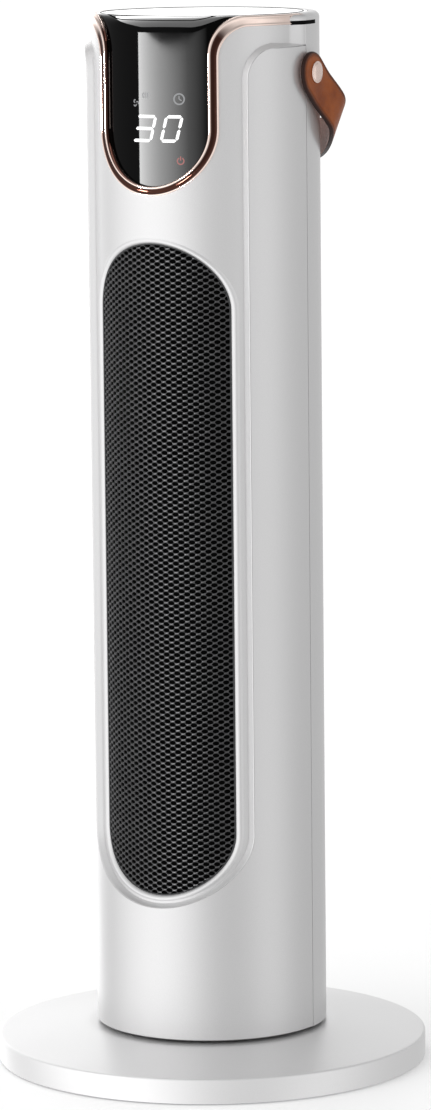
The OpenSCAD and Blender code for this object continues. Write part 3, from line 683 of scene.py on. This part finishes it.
# along the rim the groove's painted dark reflection fades out between these heights
FADE_Z0, FADE_Z1 = 587.0, 593.0
b = Build()
sweep(b, glass_path, trim_path, [(u, r) for u, r, dark_share in TRIM_PROFILE], PANEL_R)
groove_painted_reflection = [dark_share * (1 - max(0.0, min(1.0, (z - FADE_Z0) / (FADE_Z1 - FADE_Z0))))
               for u, r, dark_share in TRIM_PROFILE for s, z in trim_path]
trim_piece = b.piece("trim_band_skin", "tower", TRIM_GOLD, ["trim_band"],
                     attribute=("groove_painted_reflection", groove_painted_reflection))

# ------------------------------------------------------------------ where the panel meets the rear shell
RAMP_FROM, RAMP_TO, COVER_T = math.radians(79), math.radians(89.98), 1.5


def ramp_radius(a):
    """The skin's radius near the seam: the panel's, rising to the rear shell's."""
    return PANEL_R - 0.05 + (TOWER_R - PANEL_R) * ease((a - RAMP_FROM) / (RAMP_TO - RAMP_FROM))


def curved_plate(build, sign, angles, z0, z1, skin, thick, steps=6):
    """A plate that follows skin(angle) between two heights, on the right (sign 1) or left (-1)."""
    def row(r_of, z):
        return build.add([(sign * r_of(a) * math.sin(a), -r_of(a) * math.cos(a), z) for a in angles])
    faces = [row(skin, z0 + (z1 - z0) * k / steps) for k in range(steps + 1)]
    backs = [row(lambda a: skin(a) - thick, z) for z in (z0, z1)]
    order = (lambda ring: ring) if sign > 0 else (lambda ring: ring[::-1])
    for a, c in zip(faces, faces[1:]):
        build.strip(order(a), order(c))
    for a, c in ((backs[1], backs[0]), (backs[0], faces[0]), (faces[-1], backs[1])):
        build.strip(order(a), order(c))
    for k in (0, -1):
        column = [f[k] for f in faces] + [backs[1][k], backs[0][k]]
        build.face(column[::-1] if (k == 0) == (sign > 0) else column)


b = Build()
for sign in (1, -1):
    curved_plate(b, sign, np.linspace(RAMP_FROM, RAMP_TO, 14), OPEN_TOP - 2, TOTAL_H - 0.9,
                 ramp_radius, COVER_T)
b.piece("seam_step_covers", "tower", SHELL)

# the dark slot in the rim is a painted shadow, a near-black strip where the gap between the trim and the rear
# shell lies in shade: heights, and angles from the front; it lies a little proud of what it crosses
SLOT_Z0, SLOT_Z1, SLOT_ANGLES = 593.7, 595.9, np.radians(np.linspace(81, 102, 24))
BAND_R, SLOT_PROUD, SLOT_T = 62.95, 0.06, 0.6
b = Build()
for sign in (1, -1):
    curved_plate(b, sign, SLOT_ANGLES, SLOT_Z0, SLOT_Z1,
                 lambda a: max(ramp_radius(a), BAND_R) + SLOT_PROUD, SLOT_T, steps=2)
b.piece("rim_painted_shadow_slots", "tower", SHADE_BLACK)

# ------------------------------------------------------------------ control glass
# the tongue reaches this far out, 2 mm under the trim band
TONGUE_X, INNER_R, GLASS_T = GLASS_X + 2, 57, 3.0
edge_a = math.asin(TONGUE_X / GLASS_R)
flare_end = (PANEL_R * math.asin(GLASS_X / PANEL_R) + G_SHOULDER) / PANEL_R


def glass_low(a):
    """How far down the glass reaches at an angle from the front."""
    x = GLASS_R * math.sin(a)
    if abs(a) < edge_a:
        return TONGUE_Z - math.sqrt(max(TONGUE_X ** 2 - x * x, 0.0))
    u = (flare_end - abs(a)) * PANEL_R / G_SHOULDER
    if u > 0:
        return band_top - G_SHOULDER + G_SHOULDER * math.sqrt(max(1 - u * u, 0)) - 1.6
    return TOTAL_H - 1.8


b = Build()
angles = [math.asin(TONGUE_X / GLASS_R * math.sin(t)) for t in np.radians(np.linspace(-90, 90, 73))]
angles += list(np.linspace(edge_a, flare_end, 16)[1:]) + list(np.linspace(flare_end, 2 * PI - flare_end, 90)[1:-1])
angles += list(np.linspace(2 * PI - flare_end, 2 * PI - edge_a, 16)[:-1])
# the top edge rolls over in a wide curve at the front, which narrows between 22 and 44 degrees
NARROW_FROM, NARROW_OVER, ROLL_MIN, ROLL_MORE = 22, 22, 1.0, 8.0
levels_n, drop_n = 10, 16
rings = [[] for _ in range(3 + levels_n + drop_n)]
normal_rings = [[] for _ in rings]
for a in angles:
    aa = a if a <= PI else a - 2 * PI
    front = 1 - ease((abs(math.degrees(aa)) - NARROW_FROM) / NARROW_OVER)
    fillet = ROLL_MIN + ROLL_MORE * front
    radius = GLASS_R - 0.25 + 0.25 * front
    low = glass_low(aa)
    col = [(radius * 0.25, TOTAL_H, 0), (radius * 0.6, TOTAL_H, 0), (radius - fillet - 0.01, TOTAL_H, 0)]
    for k in range(levels_n):
        t = PI / 2 * (k + 1) / levels_n
        col.append((radius - fillet + fillet * math.sin(t), TOTAL_H - fillet + fillet * math.cos(t), t))
    z_start = TOTAL_H - fillet
    for k in range(drop_n):
        col.append((radius, z_start + (min(low, z_start - 0.2) - z_start) * (k + 1) / drop_n, PI / 2))
    for ring, nring, (r, z, t) in zip(rings, normal_rings, col):
        ring.append((r * math.sin(aa), -r * math.cos(aa), z))
        nring.append((math.sin(t) * math.sin(aa), -math.sin(t) * math.cos(aa), math.cos(t)))
ids = [b.add(p, n) for p, n in zip(rings, normal_rings)]
top = b.add([(0, 0, TOTAL_H)], [(0, 0, 1)])[0]
b.fan(ids[0], top)
for hi, lo in zip(ids, ids[1:]):
    b.strip(lo, hi, True)
back_ring = [(x * INNER_R / math.hypot(x, y), y * INNER_R / math.hypot(x, y), z) for x, y, z in rings[-1]]
back = b.add(back_ring)
b.strip(back, ids[-1], True)
under = b.add([(0, 0, TOTAL_H - GLASS_T)])[0]
flat = b.add([(x, y, TOTAL_H - GLASS_T) for x, y, z in back_ring])
b.strip(flat, back, True)
b.fan(flat[::-1], under)
glass_piece = b.piece("control_glass_skin", "tower", GLASS, ["control_glass"])


# ------------------------------------------------------------------ lit signs in the glass
SIGN_R, SIGN_BACK_R = GLASS_R + 0.06, GLASS_R - 0.1


def tile(build, outline):
    """A thin flat sign on the glass: a closed outline (x, z) seen from the front, anticlockwise."""
    f = build.add(wrap(outline, SIGN_R, GLASS_R), radial(outline, GLASS_R))
    k = build.add(wrap(outline, SIGN_BACK_R, GLASS_R))
    build.face(f)
    build.strip(k, f, True)


def stroke(build, p, q, w, slant=0.0, z0=0.0, parts=8):
    """A segment from p to q with pointed ends, slanted like the number; it bends with the glass."""
    p, q = np.asarray(p, float), np.asarray(q, float)
    length = np.linalg.norm(q - p)
    d = (q - p) / length
    n = np.array([-d[1], d[0]])
    h = w / 2
    stops = [0.0, h / 2, h] + [h + (length - w) * k / parts for k in range(1, parts)]
    stops += [length - h, length - h / 2, length]
    front, low = [], []
    for t in stops:
        half = max(min(t, length - t, h), 0.02)
        pts = [(x + slant * (z - z0), z) for x, z in (p + d * t - n * half, p + d * t + n * half)]
        front.append(build.add(wrap(pts, SIGN_R, GLASS_R), radial(pts, GLASS_R)))
        low.append(build.add(wrap(pts, SIGN_BACK_R, GLASS_R)))
    for (a, b_), (c, e) in zip(front, front[1:]):
        build.face((a, c, e, b_))
    for (a, b_), (c, e) in zip(low, low[1:]):
        build.face((b_, e, c, a))
    for (fa, fb), (fc, fe), (la, lb), (lc, le) in zip(front, front[1:], low, low[1:]):
        build.face((la, lc, fc, fa))
        build.face((fb, fe, le, lb))
    build.face((front[0][0], front[0][1], low[0][1], low[0][0]))
    build.face((front[-1][1], front[-1][0], low[-1][0], low[-1][1]))


# seven-segment digits: heights, slant, stroke width and half the gap between strokes
DIGIT_Z0, DIGIT_Z1, SLANT, STROKE, HALF_GAP = 531.3, 544.7, 0.25, 1.75, 0.25
b = Build()
for segments, x0, x1 in (("abgcd", -11.9, -0.3), ("abcdef", 6.2, 15.2)):
    zm = (DIGIT_Z0 + DIGIT_Z1) / 2
    g = HALF_GAP
    seg = {"a": ((x0 + g, DIGIT_Z1), (x1 - g, DIGIT_Z1)), "b": ((x1, DIGIT_Z1 - g), (x1, zm + g)),
           "g": ((x0 + g, zm), (x1 - g, zm)), "c": ((x1, zm - g), (x1, DIGIT_Z0 + g)),
           "d": ((x0 + g, DIGIT_Z0), (x1 - g, DIGIT_Z0)), "e": ((x0, zm - g), (x0, DIGIT_Z0 + g)),
           "f": ((x0, DIGIT_Z1 - g), (x0, zm + g))}
    for letter in segments:
        stroke(b, *seg[letter], STROKE, SLANT, DIGIT_Z0)
b.piece("number_lit", "tower", LIT)


def ring_sign(build, cx, cz, r0, r1, t0, t1, n=24):
    """Part of a ring between two radii, from t0 to t1 degrees."""
    inner, outer = (arc(cx, cz, r, t0, t1, n) for r in (r0, r1))
    for k in range(n - 1):
        tile(build, [inner[k], outer[k], outer[k + 1], inner[k + 1]])


# a clock, a fan of three blades and three heat waves
CLOCK_X, CLOCK_Z, FAN_X, FAN_Z = 16.9, 554.5, -9.9, 552.0
b = Build()
ring_sign(b, CLOCK_X, CLOCK_Z, 2.5, 3.3, 0, 360)
stroke(b, (CLOCK_X, CLOCK_Z - 0.2), (CLOCK_X, CLOCK_Z + 1.9), 0.6)
stroke(b, (CLOCK_X, CLOCK_Z), (CLOCK_X + 1.5, CLOCK_Z - 0.9), 0.6)
for k in range(3):
    ring_sign(b, FAN_X + 1.1 * math.cos(k * 2.1), FAN_Z + 1.1 * math.sin(k * 2.1), 0.5, 1.05,
              k * 120 - 60, k * 120 + 150, 10)
for k in range(3):
    ring_sign(b, -3.4 + k * 1.5, 556.4, 1.5, 2.1, 130, 230, 8)
b.piece("signs_lit", "tower", DIM)
b = Build()
ring_sign(b, 17.4, 520.3, 1.5, 2.2, 120, 420)
stroke(b, (17.4, 520.4), (17.4, 523.0), 0.7)
b.piece("power_sign_lit", "tower", RED)


# ------------------------------------------------------------------ strap and studs
# s runs from the pivots away from the tower, w across the strap, both at rest; one path for the
# right half: a straight leg, then a bend round to the back, where the strap rises and twists.
PIVOT = Vector((0.0, 5.0, 567.0))
DROP = math.radians(42)
# the strap's middle plane beside the tower, thickness, half width, length past the pivot, shift across
STRAP_X, STRAP_T, STRAP_HALF, STRAP_END, STRAP_SHIFT = 68.5, 2.8, 12.3, 14.5, -2.3
# the leg's length and lean, how far back the strap reaches, and the bend's two control points
LEG, LEAN, REACH, BEND, BACK_X = 31.0, 2.2, 87.5, 46.0, 30.0
RISE_W, TWIST, TWIST_FROM = 19.0, math.radians(20), 33.0
AWAY = np.array([0, math.cos(DROP), -math.sin(DROP)])
ACROSS = np.array([0, math.sin(DROP), math.cos(DROP)])


def strap_frame():
    """Rows along the whole strap, right stud to left stud: run length, centre, width and outward directions."""
    u = np.linspace(0, 1, 12, endpoint=False)
    leg = np.stack([STRAP_X + LEAN * ease((LEG * u - 9) / (LEG - 9)), LEG * u], 1)
    u = np.linspace(0, 1, 41)[:, None]
    leg_x = STRAP_X + LEAN
    p = [np.array(v, float) for v in ((leg_x, LEG), (leg_x, BEND), (BACK_X, REACH), (0, REACH))]
    bend = (1 - u) ** 3 * p[0] + 3 * u * (1 - u) ** 2 * p[1] + 3 * u * u * (1 - u) * p[2] + u ** 3 * p[3]
    before = np.array([[STRAP_X, -STRAP_END - 1], [STRAP_X, -STRAP_END / 2]])
    half_way = np.vstack([before, leg, bend])
    run = np.concatenate([[0], np.cumsum(np.linalg.norm(np.diff(half_way, axis=0), axis=1))]) + half_way[0, 1]
    total = run[-1]
    rise = RISE_W * ease((run - TWIST_FROM) / (total - TWIST_FROM))
    twist = TWIST * ease((run - TWIST_FROM) / (0.75 * total - TWIST_FROM))
    right_c = np.array(PIVOT) + half_way[:, :1] * np.array([1.0, 0, 0]) + half_way[:, 1:] * AWAY
    right_c += rise[:, None] * ACROSS
    centre_ = np.vstack([right_c, right_c[-2::-1] * np.array([-1, 1, 1])])
    run_ = np.concatenate([run, 2 * total - run[-2::-1]])
    turn_ = np.concatenate([twist, twist[-2::-1]])
    t = np.gradient(centre_, run_, axis=0)
    t /= np.linalg.norm(t, axis=1)[:, None]
    out = np.cross(t, ACROSS)
    out /= np.linalg.norm(out, axis=1)[:, None]
    wide = np.cross(out, t)
    c, q = np.cos(turn_)[:, None], np.sin(turn_)[:, None]
    return run_, centre_, c * wide - q * out, c * out + q * wide, total


RUN, CENTRE, WIDE, OUT, HALF_RUN = strap_frame()


def on_strap(points, lift):
    """(run, across) points, lift millimetres out of the strap's middle, in the scene's frame."""
    q = np.asarray(points, float)
    c, w, o = (np.stack([np.interp(q[:, 0], RUN, f[:, k]) for k in range(3)], 1) for f in (CENTRE, WIDE, OUT))
    return c + w * (q[:, 1:] + STRAP_SHIFT) + o * np.asarray(lift).reshape(-1, 1)


ends = [(-STRAP_END * math.cos(t), -STRAP_HALF * math.sin(t)) for t in np.radians(np.linspace(0, 90, 15))]
low_half = ends + [(r, -STRAP_HALF) for r in np.linspace(0, HALF_RUN, 70)[1:]]
low_edge = np.array(low_half + [(2 * HALF_RUN - r, w) for r, w in low_half[-2::-1]])
high_edge = low_edge * np.array([1, -1])
inward = side_normals(low_edge)
inward[0], inward[-1] = (1, 0), (-1, 0)
b = Build()
shade = []


def strap_row(edge, sign, inset, lift):
    pts = edge + inward * np.array([1, sign]) * inset
    return b.add(on_strap(pts, lift)), pts


def strap_crease(points):
    """The leather's face dips along a slanting crease below the stud."""
    r, w = points[:, 0], points[:, 1]
    return -0.22 * np.exp(-((w - 0.3 * (r - 8)) / 1.1) ** 2) * ease((r - 7) / 5) * ease((30 - r) / 14)


# distance in from the edge, lift from the strap's middle and darkness; the outer face has a pressed line
OUTER_LEVELS = ((0.0, 0.35, 1.0), (0.25, 0.95, 1.0), (0.8, 1.3, 0.85), (1.5, 1.4, 0.5), (1.95, 1.15, 0.55),
                (2.4, 1.4, 0.25), (3.6, 1.4, 0.0))
INNER_LEVELS = ((0.0, -0.35, 1.0), (0.25, -0.95, 1.0), (0.8, -1.35, 0.8), (1.6, -1.4, 0.3))
loop = {}
ACROSS_N = 12
for side_name, levels in (("outer", OUTER_LEVELS), ("inner", INNER_LEVELS)):
    last = None
    for inset, lift, dark_share in levels:
        lo_ids, lo_pts = strap_row(low_edge, 1, inset, lift)
        hi_ids, hi_pts = strap_row(high_edge, -1, inset, lift)
        shade += [dark_share] * (2 * len(low_edge))
        ring = lo_ids + hi_ids[::-1]
        if last:
            if side_name == "outer":
                b.strip(last, ring, True, 0)
            else:
                b.strip(ring, last, True, 1 if inset > 0.5 else 0)
        else:
            loop[side_name] = ring
        last = ring
    grid = [lo_ids]
    for k in range(1, ACROSS_N):
        pts = lo_pts + (hi_pts - lo_pts) * k / ACROSS_N
        grid.append(b.add(on_strap(pts, lift + (strap_crease(pts) if side_name == "outer" else 0))))
        shade += [0.0] * len(pts)
    grid.append(hi_ids)
    for a, c in zip(grid, grid[1:]):
        if side_name == "outer":
            b.strip(a, c, False, 0)
        else:
            b.strip(c, a, False, 1)
b.strip(loop["inner"], loop["outer"], True, 0)
b.piece("strap_leather", "handle", [LEATHER, SUEDE], ["strap"], merge=0.002,
        attribute=("edge_dark", shade))


def turned_x(build, profile, n, sign, y, z):
    """A turned part on an axis along X: profile of (radius, x)."""
    rings = [build.add([(sign * x, y + r * math.cos(t) * sign, z + r * math.sin(t)) for t in turn(n)])
             for r, x in profile]
    for a, c in zip(rings, rings[1:]):
        build.strip(a, c, True)
    build.face(rings[0][::-1])
    tip = build.add([(sign * profile[-1][1], y, z)])[0]
    build.fan(rings[-1], tip)


# the stud: a shank into the tower, a rolled rim and a low dome
SHANK_X, HEAD_X, DOME_R, DOME_H = 58.0, STRAP_X + STRAP_T / 2, 5.2, 1.15
head = [(2.4, SHANK_X)]
head += [(r, HEAD_X + x) for r, x in ((2.4, -0.02), (5.95, -0.02), (6.15, 0.1), (6.2, 0.4), (6.1, 0.7),
                                      (5.8, 0.86), (5.45, 0.8), (DOME_R, 0.84))]
head += [(DOME_R * math.cos(t), HEAD_X + 0.84 + DOME_H * math.sin(t))
         for t in np.radians([12, 25, 38, 51, 64, 77, 86])]
b = Build()
for sign in (1, -1):
    turned_x(b, head, 48, sign, PIVOT.y, PIVOT.z)
b.piece("strap_stud_caps", "handle", STUD, ["strap_studs"])


# ------------------------------------------------------------------ ring on the top, base cover
def lathe(build, profile, n):
    """A turned part round the tower's axis: a closed profile of (radius, z)."""
    rings = [build.add([(r * math.cos(t), r * math.sin(t), z) for t in turn(n)]) for r, z in profile]
    for a, c in zip(rings, rings[1:] + rings[:1]):
        build.strip(a, c, True)


RING_R, RING_HALF_W, RING_HALF_H = 57.0, 0.45, 0.22
b = Build()
lathe(b, [(RING_R + RING_HALF_W * math.cos(t), TOTAL_H + RING_HALF_H * math.sin(t)) for t in turn(10)], 180)
b.piece("top_ring", "tower", DARK)

# the cover's rim has a small radius below and a larger one above; a shallow cone rises to the tower
LOW_R, HIGH_R, CONE_R, FLAT_R, HUB_R = 0.5, 1.5, 71.0, 69.5, 22.0
CONE_OUT = BASE_R - 1.4
UNDER_Z, UNDER_RIM_Z, COVER_Z, WALL = 18.5, 12.5, 0.8, 2.5
prof = arc(BASE_R - LOW_R, COVER_Z + LOW_R, LOW_R, -90, 0, 4)
prof += arc(BASE_R - HIGH_R, BASE_RIM - HIGH_R, HIGH_R, 0, 83.5, 9)
for u in np.linspace(0.03, 1, 16):
    prof.append((CONE_OUT - (CONE_OUT - CONE_R) * u, BASE_RIM + (BASE_TOP - BASE_RIM) * (u * 1.12 - 0.12 * u * u)))
prof += [(FLAT_R, BASE_TOP), (30, BASE_TOP), (HUB_R, BASE_TOP), (HUB_R, UNDER_Z), (70, UNDER_Z),
         (BASE_R - WALL, UNDER_RIM_Z), (BASE_R - WALL, COVER_Z)]
b = Build()
lathe(b, prof, 256)
b.piece("base_cover_skin", "base", BASE_PAINT, ["base_cover"])

# ------------------------------------------------------------------ floor, world and lights
b = Build()
FLOOR_R = 520.0
b.face(b.add([(FLOOR_R * math.cos(t), FLOOR_R * math.sin(t), 0) for t in turn(128)]))
fm = Nodes("floor_pale", (0.93, 0.93, 0.93), 0.7)
fm.colour_noise(3, 0.005)
floor = b.piece("floor", None, fm.mat, smooth=False, merge=0)
# the floor neither brightens the heater nor shows in it
floor.visible_diffuse = False
floor.visible_glossy = False

scene.view_settings.view_transform = "Standard"
world = bpy.data.worlds.new("studio")
scene.world = world
world.use_nodes = True
wt = world.node_tree
for n in list(wt.nodes):
    wt.nodes.remove(n)


def world_node(kind, *inputs, **props):
    """A node of the world. Each input is a value or another node's output."""
    n = wt.nodes.new(kind)
    for k, v in props.items():
        setattr(n, k, v)
    for socket, v in zip(n.inputs, inputs):
        if hasattr(v, "node"):
            wt.links.new(v, socket)
        else:
            socket.default_value = v
    return n


def world_math(kind, *values):
    return world_node("ShaderNodeMath", *values, operation=kind).outputs[0]


def towards(azimuth):
    """Unit vector to a place round the room: 0 is in front of the heater, 90 on its right."""
    a = math.radians(azimuth)
    return (math.sin(a), -math.cos(a), 0.0)


AMBIENT = 0.645
SOFTBOXES = (
    # azimuth, strength, half width: the key is three boxes at the left front
    (-62, 0.56, 20), (-30, 0.85, 20), (0, 0.65, 20), (90, 0.45, 20), (-130, 1.05, 20),
)
direction = world_node("ShaderNodeTexCoord").outputs["Generated"]
flat = world_node("ShaderNodeVectorMath", direction, (1, 1, 0), operation="MULTIPLY").outputs[0]
unit = world_node("ShaderNodeVectorMath", flat, operation="NORMALIZE").outputs[0]
level = AMBIENT
for azimuth, strength, half_width in SOFTBOXES:
    dot = world_node("ShaderNodeVectorMath", unit, towards(azimuth), operation="DOT_PRODUCT").outputs["Value"]
    power = math.log(0.5) / math.log((1 + math.cos(math.radians(half_width))) / 2)
    near = world_math("POWER", world_math("MULTIPLY_ADD", dot, 0.5, 0.5), power)
    level = world_math("MULTIPLY_ADD", near, strength, level)
# less light from overhead: the factor falls from 1 to 0.6 as the direction's z rises from 0.35 to 0.85
height = world_node("ShaderNodeSeparateXYZ", direction).outputs["Z"]
overhead = world_node("ShaderNodeMapRange", height, 0.35, 0.85, 1.0, 0.6).outputs["Result"]
level = world_math("MULTIPLY", level, overhead)
# behind the heater the camera sees a plain white wall
mixed = world_node("ShaderNodeMix", world_node("ShaderNodeLightPath").outputs["Is Camera Ray"], data_type="FLOAT")
wt.links.new(level, mixed.inputs[2])
mixed.inputs[3].default_value = 1.05
background = world_node("ShaderNodeBackground", (1, 1, 1, 1), mixed.outputs[0])
world_node("ShaderNodeOutputWorld", background.outputs[0])


def lamp(name, centre, target, size, energy, only):
    """An area light in metres and watts. only: the piece that it lights."""
    data = bpy.data.lights.new(name, "AREA")
    data.shape = "RECTANGLE"
    data.size, data.size_y = size
    data.energy = energy
    ob = bpy.data.objects.new(name, data)
    scene.collection.objects.link(ob)
    z = (Vector(centre) - Vector(target)).normalized()
    x = Vector((0, 0, 1)).cross(z)
    x = x.normalized() if x.length > 0.01 else Vector((1, 0, 0))
    y = z.cross(x)
    ob.matrix_world = Matrix(((x.x, y.x, z.x, centre[0]), (x.y, y.y, z.y, centre[1]),
                              (x.z, y.z, z.z, centre[2]), (0, 0, 0, 1)))
    group = bpy.data.collections.new(name + "_lights")
    group.objects.link(only)
    ob.light_linking.receiver_collection = group
    # on the heater these lamps only make reflections
    ob.visible_diffuse = only == floor
    ob.visible_camera = False
    return ob


def beside(azimuth, distance, z):
    x, y, _ = Vector(towards(azimuth)) * distance
    return (x, y, z)


lamp("floor_lamp", (0, 0, 3), (0, 0, 0), (3, 3), 40, floor)

# the softbox that the glass shows: a sharp left edge, fading to the right
CARD_DIST, CARD_LEFT, CARD_RIGHT, CARD_Z0, CARD_Z1, CARD_GLOW = 2.2, -43.5, 34.0, 0.02, 0.475, 900.0
CARD_FADE = ((0.0, 1.0), (0.35, 0.52), (0.7, 0.13), (1.0, 0.0))
card_half = CARD_DIST * math.tan(math.radians((CARD_RIGHT - CARD_LEFT) / 2))
card_z = (CARD_Z0 + CARD_Z1) / 2
card = lamp("glass_softbox", beside((CARD_LEFT + CARD_RIGHT) / 2, CARD_DIST, card_z), (0, 0, card_z),
            (2 * card_half, CARD_Z1 - CARD_Z0), 1.0, glass_piece)
card.data.use_nodes = True
ct = card.data.node_tree
geo = ct.nodes.new("ShaderNodeNewGeometry")
split = ct.nodes.new("ShaderNodeSeparateXYZ")
ct.links.new(geo.outputs["Parametric"], split.inputs[0])
ramp = ct.nodes.new("ShaderNodeValToRGB")
stops = ramp.color_ramp.elements
for at, value in CARD_FADE:
    stop = stops.new(at) if 0 < at < 1 else stops[0 if at == 0 else -1]
    stop.color = (value, value, value, 1)
ct.links.new(split.outputs["X"], ramp.inputs["Fac"])
emit = ct.nodes["Emission"]
ct.links.new(ramp.outputs["Color"], emit.inputs["Color"])
emit.inputs["Strength"].default_value = CARD_GLOW

lamp("mesh_key", beside(-17, 2.4, 0.45), (0, 0, 0.3), (0.9, 1.6), 60, mesh_piece)
lamp("trim_glint_left", (-1.2, -1.6, 0.30), (0, 0, 0.52), (0.35, 0.5), 55, trim_piece)
lamp("trim_glint_low", (0.5, -1.9, 0.05), (0, 0, 0.52), (0.5, 0.25), 55, trim_piece)
lamp("glass_back", beside(-150, 4, 1.2), (0, 0, 0.7), (5, 2.4), 42, glass_piece)
lamp("glass_overhead", (0, 0, 2.8), (0, 0, 0.6), (6, 6), 4000, glass_piece)
